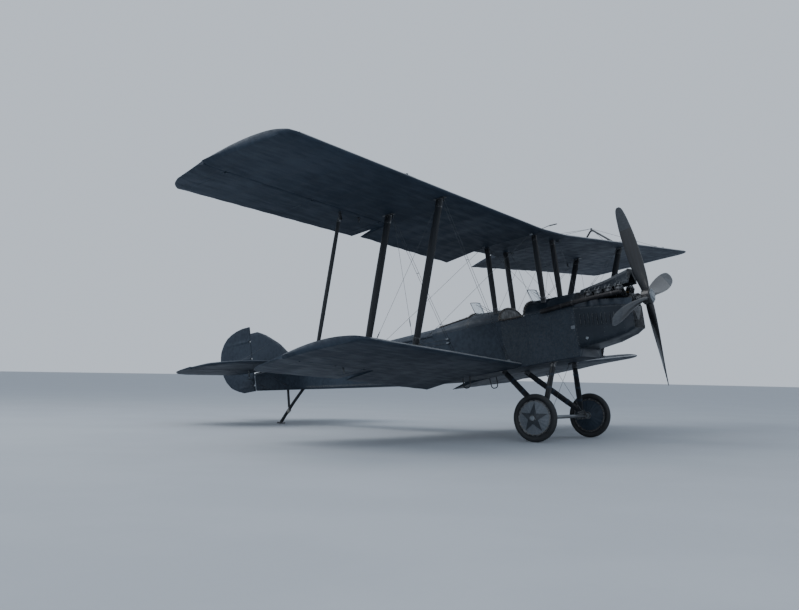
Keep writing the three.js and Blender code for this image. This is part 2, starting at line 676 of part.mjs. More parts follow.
// Wheels
function turned(profile, x, side, steps) {
  const points = profile.map(([r, w]) => new THREE.Vector2(r, w));
  const g = new THREE.LatheGeometry(points, steps);
  g.rotateZ(-side * Math.PI / 2);
  g.translate(x, WHEEL.y, WHEEL.z);
  return g;
}
function tyre(side) {
  const half = WHEEL.tyreWidth / 2;
  const rim = WHEEL.rimRadius + GAP;
  const mid = (WHEEL.radius + rim) / 2 + 3;
  const tall = WHEEL.radius - mid;
  const profile = [[rim, -26], [rim, 26]];
  for (let i = 0; i <= 8; i++) {
    const t = rad(150 - 300 * i / 8);
    profile.push([mid + tall * Math.cos(t), half * Math.sin(t)]);
  }
  profile.push([rim, -26]);
  return turned(profile.reverse(), side * WHEEL.x, side, 36);
}
function wheelCover(side) {
  const bore = AXLE_RADIUS + 0.9;
  const profile = [[bore, -80], [bore, 80], [46, 78], [WHEEL.rimRadius - 14, 26],
    [WHEEL.rimRadius, 24], [WHEEL.rimRadius, -24], [WHEEL.rimRadius - 14, -26], [46, -78],
    [bore, -80]];
  return turned(profile.reverse(), side * WHEEL.x, side, 36);
}

// Tail unit
const TAIL_TABLE = [
  { x: 60, front: 0, back: 1 },
  { x: 1400, front: 0.10, back: 1 },
  { x: 1720, front: 0.30, back: 1 },
  { x: 1900, front: 0.62, back: 1 },
];
const tailChord = TAILPLANE.hinge - ELEVATOR.nose - 8 - TAILPLANE.front;
function tailRing(x, front) {
  const y0 = TAILPLANE.front + tailChord * front;
  const y1 = TAILPLANE.front + tailChord;
  const h = TAILPLANE.thick / 2 * (1 - 0.35 * front);
  const flat = [[y0, 0], [y0 + 25, -h * 0.7], [y0 + 120, -h], [y1, -ELEVATOR.nose], [y1, ELEVATOR.nose],
    [y0 + 120, h], [y0 + 25, h * 0.7]];
  return { flat, points: flat.map(([y, z]) => V(x, y, TAILPLANE.z + z)) };
}
const tailRows = [...TAIL_TABLE.map((r) => ({ ...r, x: -r.x })).reverse(), ...TAIL_TABLE];
const tailRings = tailRows.map((r) => tailRing(r.x, r.front));
const TAIL_LUGS = [330, 1000, 1620];
const tailLugs = [];
for (const { side } of SIDES) {
  for (const x of TAIL_LUGS) {
    tailLugs.push(block(side * x - 15, side * x + 15, TAILPLANE.hinge - 60, TAILPLANE.hinge + 10,
      TAILPLANE.z - 9, TAILPLANE.z + 9));
  }
}
const tailBody = loft(tailRings.map((r) => r.points), tailRings[0].flat, tailRings.at(-1).flat);
const tailplane = join(cut(tailBody, [rearFuselage], V(0, 0, GAP)), ...tailLugs);

const ELEVATOR_TABLE = [
  { x: 70, back: 0.62 },
  { x: 330, back: 1 },
  { x: 1400, back: 0.98 },
  { x: 1720, back: 0.78 },
  { x: 1900, back: 0.34 },
];
function elevator(side) {
  const hinge = TAILPLANE.hinge;
  const reach = ELEVATOR.trailing - hinge;
  const rings = ELEVATOR_TABLE.map(({ x, back }) => {
    const flat = [100, 130, 160, 180, 200, 230, 260].map(rad).map((t) =>
      [hinge + ELEVATOR.nose * Math.cos(t), ELEVATOR.nose * Math.sin(t)]);
    flat.push([hinge + reach * back, -5]);
    flat.push([hinge + reach * back, 5]);
    return { flat, points: flat.map(([y, z]) => V(side * x, y, TAILPLANE.z + z)) };
  });
  const body = loft(rings.map((r) => r.points), rings[0].flat, rings.at(-1).flat);
  const slots = TAIL_LUGS.map((x) => block(side * x - 15 - GAP, side * x + 15 + GAP,
    hinge - 60, hinge + 24, TAILPLANE.z - 40, TAILPLANE.z + 40));
  const horn = block(side * 500 - 6, side * 500 + 6, hinge + 20, hinge + 60,
    TAILPLANE.z - 150, TAILPLANE.z + 150);
  return join(cut(body, slots), horn);
}

const FIN = [
  { z: 0, front: 6330 },
  { z: 260, front: 6560 },
  { z: 520, front: 6860 },
  { z: 700, front: 7190 },
];
const finBack = RUDDER.hinge - RUDDER.nose - 8;
const finBase = TAILPLANE.z + 6;
function finRing(z, front) {
  const h = 17;
  const flat = [[front, 0], [front + 30, -h], [finBack, -h], [finBack, h], [front + 30, h]];
  return { flat, points: flat.map(([y, x]) => V(x, y, finBase + z)) };
}
const finRings = FIN.map((r) => finRing(r.z, r.front));
const RUDDER_LUGS = [-150, 330, 640];
const rudderLug = (z, half, back) => block(-9, 9, finBack - 30, RUDDER.hinge + back, z - half, z + half);
const sternPost = block(-14, 14, STERN_Y - 5, finBack, -235, 5);
const fin = join(
  cut(loft(finRings.map((r) => r.points), finRings[0].flat, finRings.at(-1).flat),
    [tailplane, rearFuselage], V(0, GAP, GAP)),
  rudderLug(RUDDER_LUGS[1], 15, 8), rudderLug(RUDDER_LUGS[2], 15, 8));
const sternLug = rudderLug(RUDDER_LUGS[0], 15, 8);

const RUDDER_TABLE = [
  { z: -250, back: 260 },
  { z: -120, back: 560 },
  { z: 120, back: 730 },
  { z: 450, back: 760 },
  { z: 700, back: 640 },
  { z: 840, back: 420 },
  { z: 900, back: 160 },
];
function rudderPiece() {
  const rings = RUDDER_TABLE.map(({ z, back }) => {
    const flat = [100, 130, 160, 180, 200, 230, 260].map(rad).map((t) =>
      [RUDDER.hinge + RUDDER.nose * Math.cos(t), RUDDER.nose * Math.sin(t)]);
    flat.push([RUDDER.hinge + back, -5]);
    flat.push([RUDDER.hinge + back, 5]);
    return { flat, points: flat.map(([y, x]) => V(x, y, z)) };
  });
  const body = loft(rings.map((r) => r.points), rings[0].flat, rings.at(-1).flat);
  const slots = RUDDER_LUGS.map((z) => block(-40, 40, RUDDER.hinge - 60, RUDDER.hinge + 22,
    z - 15 - GAP, z + 15 + GAP));
  return cut(body, slots);
}

// Tail skid: an ash lever under the stern with a steel shoe flat on the ground.
const groundLevel = (y) => {
  const low = -WHEEL.y * Math.sin(PARK_ANGLE) + WHEEL.z * Math.cos(PARK_ANGLE) - WHEEL.radius;
  return (low + y * Math.sin(PARK_ANGLE)) / Math.cos(PARK_ANGLE);
};
const SKID = { y: 6860, shoe: 70 };
function tailSkid() {
  const ground = groundLevel(SKID.y);
  const square = (u, v) => [[-u, -v], [u, -v], [u, v], [-u, v]];
  const foot = V(0, SKID.y, ground + 22);
  const lever = bar(V(0, 6250, -350), foot, square(20, 24));
  const post = bar(V(0, 6620, -260), V(0, 6640, -640), square(16, 18));
  const along = V(0, Math.cos(PARK_ANGLE), Math.sin(PARK_ANGLE));
  const under = V(0, Math.sin(PARK_ANGLE), -Math.cos(PARK_ANGLE));
  const base = V(0, SKID.y, ground);
  const corner = (u, v) => base.clone().addScaledVector(along, u).addScaledVector(under, -v);
  const flat = [[-SKID.shoe, 0], [SKID.shoe, 0], [SKID.shoe, 30], [-SKID.shoe, 30]];
  const ring = (x) => flat.map(([u, v]) => corner(u, v).setX(x));
  const shoe = loft([ring(-32), ring(32)], flat);
  return cut(join(lever, post, shoe), [rearFuselage], V(0, 0, -GAP));
}

// Propeller: four twisted blades on one boss, and the front plate.
const BLADE = [
  { r: 60, chord: 104, thick: 84, twist: 78 },
  { r: 230, chord: 150, thick: 58, twist: 60 },
  { r: 480, chord: 205, thick: 40, twist: 44 },
  { r: 760, chord: 235, thick: 30, twist: 33 },
  { r: 1010, chord: 225, thick: 22, twist: 26 },
  { r: 1170, chord: 184, thick: 16, twist: 23 },
  { r: 1262, chord: 122, thick: 12, twist: 22 },
  { r: PROP_RADIUS, chord: 44, thick: 8, twist: 22 },
];
function blade(turn) {
  const rings = BLADE.map(({ r, chord, thick, twist }) => {
    const a = rad(twist);
    const flat = streamline(thick, chord, 12);
    return { flat, points: flat.map(([u, v]) => {
      const across = v * Math.cos(a) + u * Math.sin(a);
      const deep = -v * Math.sin(a) + u * Math.cos(a);
      return V(across, deep + PROP_RAKE * r / PROP_RADIUS, r).applyAxisAngle(V(0, 1, 0), turn);
    }) };
  });
  return loft(rings.map((r) => r.points), rings[0].flat, rings.at(-1).flat);
}
const BOSS = { radius: 110, front: -60, back: 60 };
const shaftEnd = 200 - GAP - HUB.y;
const propellerParts = [rod(V(0, BOSS.front, 0), V(0, BOSS.back, 0), BOSS.radius, 24),
  rod(V(0, BOSS.back - 5, 0), V(0, shaftEnd, 0), 38, 16)];
for (let i = 0; i < BLADES; i++) {
  propellerParts.push(blade(-PROP_TURN + i * 2 * Math.PI / BLADES));
}
const hubPlate = rod(V(0, BOSS.front - 24, 0), V(0, BOSS.front - GAP, 0), 92, 24);
const atHub = (geometry) => geometry.translate(HUB.x, HUB.y, HUB.z);

addPiece('nose_cowl', noseCowl, cowlMetal);
addPiece('engine', engine, steel);
addPiece('air_scoop', airScoop, cowlMetal);
addPiece('firewall', firewall, metal);
addPiece('front_deck', frontDeck, cowlMetal);
addPiece('mid_deck', join(midDeck, board), fabric);
addPiece('cockpit_floor', cockpitFloor, wood);
addPiece('rear_fuselage', join(rearFuselage, headDeck, sternPost, sternLug), fabric);
addPiece('front_seat', seat(1940), leather);
addPiece('rear_seat', seat(2990), leather);
addPiece('front_windscreen', windscreen(1580, frontDeck), clear);
addPiece('rear_windscreen', windscreen(2560, midDeck), clear);
addPiece('centre_section', centreSection, darkFabric);
addPiece('axle', axleLine, steel);
addPiece('gear_stays', gearStays(), steel);
addPiece('tail_skid', tailSkid(), wood);
addPiece('tailplane', tailplane, fabric);
addPiece('fin', fin, fabric);
addPiece('rudder', rudderPiece(), fabric);
addPiece('propeller', atHub(join(...propellerParts)), wood);
addPiece('propeller_plate', atHub(hubPlate), metal);
for (const { name, side } of SIDES) {
  addPiece(`cockpit_side_${name}`, sideWall(side), fabric);
  addPiece(`exhaust_${name}`, exhaust(side), steel);
  for (const plane of PLANES) {
    addPiece(`${plane.name}_wing_${name}`, wings[`${plane.name}_${name}`], darkFabric);
    addPiece(`${plane.name}_aileron_${name}`, ailerons[`${plane.name}_${name}`], darkFabric);
  }
  for (const spar of SPARS) {
    addPiece(`${spar.name}_strut_${name}`, interplaneStrut(side, spar.at, name), wood);
    addPiece(`${spar.name}_cabane_${name}`, cabaneStrut(side, spar.at), wood);
    addPiece(`${spar.name}_stays_${name}`, bayStays(side, spar.at, name), steel);
  }
  addPiece(`kingpost_${name}`, kingPost(side, name), steel);
  addPiece(`kingpost_stays_${name}`, kingStays(side, name), steel);
  addPiece(`aileron_link_${name}`, aileronLink(side), wood);
  addPiece(`gear_vee_${name}`, gearVee(side), wood);
  addPiece(`tyre_${name}`, tyre(side), rubber);
  addPiece(`wheel_cover_${name}`, wheelCover(side), cover);
  addPiece(`elevator_${name}`, elevator(side), fabric);
}

// Parked: tail down, wheels on the floor, centred on its own box.
airframe.rotation.x = -PARK_ANGLE;
group.updateMatrixWorld(true);
const box = new THREE.Box3().setFromObject(group, true);
const middle = box.getCenter(V(0, 0, 0));
airframe.position.set(-middle.x, -middle.y, -box.min.z);
group.updateMatrixWorld(true);

export default group;
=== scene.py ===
"""Looks of a parked two-seat biplane with unequal wings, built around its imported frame.

Every shape is drawn in the airframe's own directions, in metres: x to port, y aft from the nose, z up
from the top longerons. world() then turns it tail down, as the aircraft parks.
"""
import json

import bpy
import numpy as np
from mathutils import Matrix, Vector

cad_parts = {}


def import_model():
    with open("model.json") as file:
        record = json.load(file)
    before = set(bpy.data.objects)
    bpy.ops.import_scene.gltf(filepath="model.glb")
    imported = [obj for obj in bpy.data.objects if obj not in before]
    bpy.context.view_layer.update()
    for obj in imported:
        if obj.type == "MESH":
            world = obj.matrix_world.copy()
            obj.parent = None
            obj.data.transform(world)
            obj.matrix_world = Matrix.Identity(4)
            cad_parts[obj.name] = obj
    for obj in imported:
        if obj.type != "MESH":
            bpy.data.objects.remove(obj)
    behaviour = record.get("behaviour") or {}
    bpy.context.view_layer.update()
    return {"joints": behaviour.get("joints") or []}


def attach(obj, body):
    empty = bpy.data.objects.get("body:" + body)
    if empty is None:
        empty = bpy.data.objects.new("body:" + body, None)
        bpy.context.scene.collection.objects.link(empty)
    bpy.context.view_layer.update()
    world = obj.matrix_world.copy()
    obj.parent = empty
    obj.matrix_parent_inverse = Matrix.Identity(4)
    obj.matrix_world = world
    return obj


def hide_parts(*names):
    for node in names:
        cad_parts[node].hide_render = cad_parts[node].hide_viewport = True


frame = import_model()

# The airframe's directions, from the propeller shaft and the rudder post
JOINT = {j["name"]: j for j in frame["joints"]}
AFT = -np.array(JOINT["propeller_spin"]["axis"], float)
UP = np.array(JOINT["rudder_swing"]["axis"], float)
PORT = np.array([1.0, 0.0, 0.0])
AXES = np.stack([PORT, AFT, UP])
HUB = np.array([0.0, -0.015, -0.034])
ORIGIN = np.array(JOINT["propeller_spin"]["pos_m"], float) - HUB @ AXES
SIDES = (("left", 1.0), ("right", -1.0))

# Driving dimensions, the same as the frame's
CHORD = 1.676
INCIDENCE = np.radians(4.0)
DIHEDRAL = np.radians(3.7)
CENTRE_HALF = 0.36
BODY_HALF = 0.37
UPPER_LE = (1.226, 1.172)
LOWER_LE = (1.866, -0.678)
UPPER_TIP = 5.88
LOWER_TIP = 4.20
UPPER_AILERON = 2.50
LOWER_AILERON = 2.35
CUTOUT = 0.70
THICKNESS = 0.072
CAMBER = 0.042
HINGE = 0.725
AILERON_NOSE = 0.024
AILERON_SLOT = 0.009
SLOT_BACK = 0.026
LUG_WIDTH = 0.034
SPARS = (("front", 0.10), ("rear", 0.575))
STRUT_X = 2.80
LINK_X = 3.43
LINK_BACK = 0.062
RIB_PITCH = (2.80 - 0.36) / 7
WHEEL = np.array([0.88, 1.510, -1.490])
WHEEL_RADIUS = 0.33
RIM_RADIUS = 0.246
TYRE_HALF = 0.042
AXLE_RADIUS = 0.024
AXLE_HALF = 0.975
PROP_RADIUS = 1.290
PROP_TURN = np.radians(18.5)
PROP_RAKE = 0.065
TAIL_HINGE = 6.990
TAIL_FRONT = 6.180
TAIL_Z = 0.072
RUDDER_HINGE = 7.385
KING_RISE = 0.385
KING_AFT = 0.045
GAP = 0.0004
ARCH_BASE = 0.014
INNER_HALF = 0.330
FLOOR_TOP = -0.6904
SEAT_TOP = -0.4010
SEATS = (("front", 1.940), ("rear", 2.990))

# Axes for plates: the outline's two directions, then the thickness
FRONT_FACE = ((1, 0, 0), (0, 0, 1), (0, 1, 0))
SIDE_FACE = ((0, 1, 0), (0, 0, 1), (1, 0, 0))


def world(points):
    """Airframe coordinates to the parked frame: the origin's place plus x, y and z along its axes."""
    return ORIGIN + np.asarray(points, float) @ AXES


def unit(v):
    """A direction's unit vector."""
    v = np.asarray(v, float)
    return v / np.linalg.norm(v)


def smoothstep(low, high, x):
    """Zero below low, one above high, with an even S between."""
    t = np.clip((np.asarray(x, float) - low) / (high - low), 0.0, 1.0)
    return t * t * (3.0 - 2.0 * t)


# Shapes: a pair of points and faces, where a triangle repeats its last corner
def merged(parts):
    """One shape from several, each one's faces counted on from the last."""
    parts = [p for p in parts if len(p[0])]
    counts = np.cumsum([0] + [len(p[0]) for p in parts[:-1]])
    return np.vstack([p[0] for p in parts]), np.vstack([p[1] + c for p, c in zip(parts, counts)])


def outward(points, faces):
    """The same faces, turned over if the volume that they hold comes out negative. A triangle keeps
    its repeated corner last."""
    a, b, c, d = (points[faces[:, i]] for i in range(4))
    volume = np.einsum("ij,ij->", a, np.cross(b, c)) + np.einsum("ij,ij->", a, np.cross(c, d))
    return (points, faces if volume >= 0 else faces[:, [1, 0, 3, 2]])


def tube_of(rings):
    """Closed skin through rings (n, k, 3): a grid that wraps round k, with a fan on each end."""
    rings = np.asarray(rings, float)
    n, k = rings.shape[:2]
    index = np.arange(n * k).reshape(n, k)
    wrap = np.concatenate([index, index[:, :1]], axis=1)
    quads = np.stack([wrap[:-1, :-1], wrap[:-1, 1:], wrap[1:, 1:], wrap[1:, :-1]], axis=-1)
    points = np.vstack([rings.reshape(-1, 3), rings[0].mean(axis=0), rings[-1].mean(axis=0)])
    start, end = n * k, n * k + 1
    first, last = wrap[0], wrap[-1]
    mid = np.full(k, start)
    fan_a = np.stack([first[1:], first[:-1], mid, mid], axis=-1)
    fan_b = np.stack([last[:-1], last[1:], np.full(k, end), np.full(k, end)], axis=-1)
    return outward(points, np.vstack([quads.reshape(-1, 4), fan_a, fan_b]))


def ring_of(rings):
    """Closed skin through rings (n, k, 3) that also wraps from the last ring to the first."""
    rings = np.asarray(rings, float)
    n, k = rings.shape[:2]
    index = np.arange(n * k).reshape(n, k)
    index = np.concatenate([index, index[:1]], axis=0)
    index = np.concatenate([index, index[:, :1]], axis=1)
    quads = np.stack([index[:-1, :-1], index[:-1, 1:], index[1:, 1:], index[1:, :-1]], axis=-1)
    return outward(rings.reshape(-1, 3), quads.reshape(-1, 4))


def grid_of(x, y, z):
    """Points (..., 3) from three coordinates that broadcast together."""
    return np.stack(np.broadcast_arrays(x, y, z), axis=-1)


def mirrored(x, z):
    """Outline (k, 2) of a half that ends on the middle line, followed by its mirror image."""
    return np.column_stack([np.concatenate([x, -x[-2::-1]]), np.concatenate([z, z[-2::-1]])])


def loop_tube(loop, section, first, second):
    """A closed tube through a loop (n, 3): the section's axes are two directions, either the same
    everywhere or one for each point."""
    first, second = (np.broadcast_to(v, loop.shape)[:, None] for v in (first, second))
    return ring_of(loop[:, None] + section[:, :1] * first + section[:, 1:] * second)


def round_loop(loop):
    """Unit directions (n, 3) along a closed loop."""
    along = np.roll(loop, -1, axis=0) - np.roll(loop, 1, axis=0)
    return along / np.linalg.norm(along, axis=1)[:, None]


def even_turns(count):
    """Angles of count even steps once round."""
    return np.arange(count) * 2 * np.pi / count


def circle(radius, sides):
    """Section points (k, 2) on a circle."""
    t = even_turns(sides)
    return np.stack([radius * np.cos(t), radius * np.sin(t)], axis=-1)


def oval(wide, high):
    """Section points of a flat band: an ellipse with these half widths."""
    return circle(1.0, 8) * (wide, high)


def teardrop(thick, chord, sides=28):
    """Strut section: an ellipse drawn forward, thickness across and chord along."""
    t = even_turns(sides)
    return np.stack([thick / 2 * np.sin(t),
                     chord / 2 * np.cos(t) + 0.08 * chord * np.sin(t) ** 2], axis=-1)


def sweep(path, section, side=(0, 1, 0), scale=None):
    """A section (k, 2) carried along a path (n, 3). Its second axis is turned towards side."""
    path = np.asarray(path, float)
    along = np.gradient(path, axis=0)
    along /= np.linalg.norm(along, axis=1)[:, None]
    side = np.asarray(side, float)
    across = np.cross(side, along)
    across /= np.linalg.norm(across, axis=1)[:, None]
    up = np.cross(along, across)
    size = np.ones(len(path)) if scale is None else np.asarray(scale, float)
    u = section[None, :, 0, None] * across[:, None, :]
    v = section[None, :, 1, None] * up[:, None, :]
    return tube_of(path[:, None, :] + size[:, None, None] * (u + v))


def off_side(way):
    """An axis that is well off a direction: y, or x where the direction runs along y."""
    return (0, 1, 0) if abs(way[1]) < 0.9 else (1, 0, 0)


def rod(a, b, radius, sides=10, end=None):
    """A round bar from a to b, with its rims eased by end."""
    a, b = np.asarray(a, float), np.asarray(b, float)
    way = unit(b - a)
    end = min(radius * 0.3, np.linalg.norm(b - a) * 0.2) if end is None else end
    side = off_side(way)
    path = np.array([a, a + way * end, b - way * end, b])
    inner = 1 - end / radius
    return sweep(path, circle(radius, sides), side, [inner, 1, 1, inner])


def wire(a, b, radius=0.0024, sides=6):
    """A straight wire between two points."""
    return sweep([a, b], circle(radius, sides), off_side(unit(np.subtract(b, a))))


def pin(at, half, radius, sides=10):
    """A round bar across the aircraft, with its middle at a place."""
    at = np.asarray(at, float)
    return rod(at - (half, 0, 0), at + (half, 0, 0), radius, sides)


def curve(points, count):
    """A smooth path through given points: a Catmull-Rom curve, count points in all."""
    p = np.asarray(points, float)
    p = np.vstack([2 * p[0] - p[1], p, 2 * p[-1] - p[-2]])
    at = np.linspace(0, len(p) - 3 - 1e-9, count)
    i = at.astype(int)
    t = (at - i)[:, None]
    a, b, c, d = p[i], p[i + 1], p[i + 2], p[i + 3]
    return 0.5 * (2 * b + (c - a) * t + (2 * a - 5 * b + 4 * c - d) * t ** 2
                  + (3 * b - a - 3 * c + d) * t ** 3)


def pipe(points, radius, sides=12, count=40, side=(0.13, 0.21, 0.97)):
    """A round tube along a smooth path through the points."""
    return sweep(curve(points, count), circle(radius, sides), side)


def slab(outline, low, high, bevel=0.002, axes=None, at=(0, 0, 0)):
    """A plate with the outline (k, 2), from low to high, its rim eased towards the middle."""
    outline = np.asarray(outline, float)
    middle = outline.mean(axis=0)
    reach = np.abs(outline - middle).max()
    inner = middle + (outline - middle) * (1 - bevel / reach)
    levels = ((inner, low), (outline, low + bevel), (outline, high - bevel), (inner, high))
    axes = np.eye(3) if axes is None else np.asarray(axes, float)
    rings = [np.column_stack([ring, np.full(len(ring), level)]) for ring, level in levels]
    return tube_of(np.asarray(at, float) + np.stack(rings) @ axes)


def rounded(width, height, radius, steps=4):
    """Outline (k, 2) of a rectangle with round corners."""
    turns = np.linspace(0, np.pi / 2, steps + 1)
    parts = []
    for k, (sx, sy) in enumerate(((1, 1), (-1, 1), (-1, -1), (1, -1))):
        t = turns + k * np.pi / 2
        parts.append(np.column_stack([sx * (width / 2 - radius) + radius * np.cos(t),
                                      sy * (height / 2 - radius) + radius * np.sin(t)]))
    return np.vstack(parts)


def lathe(profile, centre, axis, steps=32, wrap=False):
    """A profile (k, 2) of radius and place along the axis, turned round it."""
    profile = np.asarray(profile, float)
    axis = unit(axis)
    other = unit(np.cross(axis, (0, 0, 1) if abs(axis[2]) < 0.9 else (0, 1, 0)))
    third = np.cross(axis, other)
    t = even_turns(steps)
    way = np.cos(t)[:, None] * other + np.sin(t)[:, None] * third
    rings = (np.asarray(centre, float) + profile[:, 1, None, None] * axis
             + profile[:, 0, None, None] * way[None])
    return ring_of(rings) if wrap else tube_of(rings)


def scattered(unit_shape, places, axes):
    """Copies of a small shape at places (n, 3), each turned by its own axes (n, 3, 3)."""
    points, faces = unit_shape
    moved = places[:, None, :] + np.einsum("kj,njl->nkl", points, axes)
    shift = (np.arange(len(places)) * len(points))[:, None, None]
    return moved.reshape(-1, 3), (faces[None] + shift).reshape(-1, 4)


def stud(radius, height, sides=6):
    """A small domed bolt head that stands along +z from its base."""
    profile = [(radius, 0.0), (radius, height * 0.6), (radius * 0.6, height)]
    return lathe(profile, (0, 0, 0), (0, 0, 1), sides)


def facing(normals):
    """Axes (n, 3, 3) whose third row is each normal."""
    n = np.asarray(normals, float)
    n = n / np.linalg.norm(n, axis=1)[:, None]
    spare = np.where(np.abs(n[:, 1:2]) < 0.9, np.array([[0, 1.0, 0]]), np.array([[1.0, 0, 0]]))
    u = np.cross(spare, n)
    u /= np.linalg.norm(u, axis=1)[:, None]
    return np.stack([u, np.cross(n, u), n], axis=1)


def studs(radius, height, groups):
    """Bolt heads on groups of places (n, 3), each with its normals or with one normal for all."""
    spots = np.vstack([places for places, _ in groups])
    normals = np.vstack([np.broadcast_to(normal, np.shape(places)) for places, normal in groups])
    return scattered(stud(radius, height), spots, facing(normals))


def piece(name, parts, material, body="airframe", nodes=(), sharp=38.0):
    """A Blender object from shapes, riding on a body, standing for the named frame nodes."""
    points, faces = merged(parts) if isinstance(parts, list) else parts
    points = world(points)
    triangle = faces[:, 2] == faces[:, 3]
    counts = np.where(triangle, 3, 4)
    keep = np.ones(faces.shape, bool)
    keep[triangle, 3] = False
    mesh = bpy.data.meshes.new(name)
    mesh.vertices.add(len(points))
    mesh.vertices.foreach_set("co", points.ravel())
    mesh.loops.add(int(counts.sum()))
    mesh.loops.foreach_set("vertex_index", faces[keep])
    mesh.polygons.add(len(faces))
    mesh.polygons.foreach_set("loop_start", np.concatenate([[0], np.cumsum(counts)[:-1]]))
    mesh.update(calc_edges=True)
    mesh.validate()
    mesh.shade_smooth()
    mesh.set_sharp_from_angle(angle=np.radians(sharp))
    mesh.materials.append(material)
    obj = bpy.data.objects.new(name, mesh)
    bpy.context.scene.collection.objects.link(obj)
    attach(obj, body)
    if nodes:
        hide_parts(*nodes)
    return obj


# Shader tools
class Nodes:
    """A short way to add and link shader nodes in one tree."""

    def __init__(self, tree):
        self.tree = tree

    def add(self, kind, **values):
        node = self.tree.nodes.new("ShaderNode" + kind)
        for key, value in values.items():
            setattr(node, key, value)
        return node

    def end(self, kind):
        return self.tree.nodes.new(kind)

    def link(self, a, b):
        self.tree.links.new(a, b)

    def math(self, operation, a, b=0.0):
        node = self.add("Math", operation=operation)
        for socket, value in zip(node.inputs, (a, b)):
            self.feed(socket, value)
        return node.outputs[0]

    def times(self, a, b):
        return self.math("MULTIPLY", a, b)

    def plus(self, a, b):
        return self.math("ADD", a, b)

    def wave(self, vector, scale, direction, distortion, detail=2.0):
        node = self.add("TexWave", bands_direction=direction)
        self.link(vector, node.inputs["Vector"])
        for key, value in (("Scale", scale), ("Distortion", distortion), ("Detail", detail)):
            self.feed(node.inputs[key], value)
        return node.outputs["Fac"]

    def feed(self, socket, value):
        if isinstance(value, (int, float)):
            socket.default_value = value
        elif isinstance(value, (tuple, list)):
            socket.default_value = tuple(value) + (1.0,) * (4 - len(value))
        else:
            self.link(value, socket)

    def mix(self, share, a, b):
        node = self.add("Mix", data_type="RGBA")
        self.feed(node.inputs[0], share)
        self.feed(node.inputs[6], a)
        self.feed(node.inputs[7], b)
        return node.outputs[2]

    def ramp(self, value, low, high, out_low=0.0, out_high=1.0):
        node = self.add("MapRange", interpolation_type="SMOOTHSTEP")
        for socket, v in zip(node.inputs, (value, low, high, out_low, out_high)):
            self.feed(socket, v)
        return node.outputs[0]

    def noise(self, vector, scale, detail=3.0, rough=0.55):
        node = self.add("TexNoise")
        self.feed(node.inputs["Scale"], scale)
        self.feed(node.inputs["Detail"], detail)
        self.feed(node.inputs["Roughness"], rough)
        self.link(vector, node.inputs["Vector"])
        return node.outputs["Fac"]

    def stretched(self, vector, scale, turn=(0, 0, 0)):
        node = self.add("Mapping")
        node.inputs["Scale"].default_value = scale
        node.inputs["Rotation"].default_value = turn
        self.link(vector, node.inputs["Vector"])
        return node.outputs[0]


def effect_of(name, recipe, amount="Scale", value=1.0, outputs=("Mask", "Height")):
    """A shader node group of a place and one amount. Its recipe builds the nodes between, and gives
    what the outputs show."""
    tree = bpy.data.node_groups.new(name, "ShaderNodeTree")
    tree.interface.new_socket("Vector", in_out="INPUT", socket_type="NodeSocketVector")
    socket = tree.interface.new_socket(amount, in_out="INPUT", socket_type="NodeSocketFloat")
    socket.default_value = value
    for label in outputs:
        tree.interface.new_socket(label, in_out="OUTPUT", socket_type="NodeSocketFloat")
    n = Nodes(tree)
    start, end = n.end("NodeGroupInput"), n.end("NodeGroupOutput")
    for result, socket in zip(recipe(n, *start.outputs[:2]), end.inputs):
        n.link(result, socket)
    return tree


# Shared effects: each recipe gives a mask from 0 to 1 and a bump height
def doped_linen(n, vector, scale):
    """Doped linen: crossed fine threads, brushed streaks of dope and slow blotches."""
    threads = [n.wave(vector, n.times(scale, 260.0), way, 1.2) for way in ("X", "Y")]
    streaks = n.noise(n.stretched(vector, (1.6, 9.0, 9.0)), n.times(scale, 1.6), 5.0)
    blotch = n.noise(vector, n.times(scale, 0.9))
    mask = n.plus(n.times(streaks, 0.55), n.times(blotch, 0.45))
    return n.ramp(mask, 0.32, 0.68), n.plus(n.times(n.times(*threads), 0.25), streaks)


def worked_metal(n, vector, scale):
    """Worked sheet and castings: hand-beaten waves, fine scratches and oil stains."""
    waves = n.noise(vector, n.times(scale, 5.0), 2.0)
    scratches = n.noise(n.stretched(vector, (14.0, 2.0, 14.0)), n.times(scale, 12.0), 6.0)
    stains = n.ramp(n.noise(vector, n.times(scale, 3.2), 6.0, 0.7), 0.42, 0.66)
    mask = n.plus(n.times(stains, 0.7), n.times(scratches, 0.3))
    return mask, n.plus(waves, n.times(scratches, 0.12))


def wood_grain(n, vector, scale):
    """Wood: long fibres along the vector's z, with slow growth bands across them."""
    fibres = n.noise(n.stretched(vector, (1.0, 1.0, 0.05)), n.times(scale, 140.0), 4.0)
    bands = n.wave(n.stretched(vector, (1.0, 1.0, 0.08)), n.times(scale, 16.0), "DIAGONAL", 5.0, 3.0)
    return n.plus(n.times(fibres, 0.5), n.times(bands, 0.5)), fibres


def leather_hide(n, vector, scale):
    """Leather: pebbled cells with creases between them and rubbed high spots."""
    cells = n.add("TexVoronoi", feature="SMOOTH_F1")
    n.link(vector, cells.inputs["Vector"])
    n.feed(cells.inputs["Scale"], n.times(scale, 210.0))
    creases = n.noise(vector, n.times(scale, 22.0), 6.0, 0.65)
    rubbed = n.ramp(n.noise(vector, n.times(scale, 7.0), 4.0), 0.42, 0.66)
    return rubbed, n.math("SUBTRACT", n.times(creases, 1.4), cells.outputs["Distance"])


def field_dust(n, vector, scale):
    """Rubber and steel that stood outdoors: fine speckle over slow patches of dust."""
    speckle = n.noise(vector, n.times(scale, 120.0), 4.0, 0.7)
    patches = n.ramp(n.noise(vector, n.times(scale, 6.0), 5.0), 0.4, 0.62)
    return n.times(n.plus(speckle, patches), 0.5), speckle


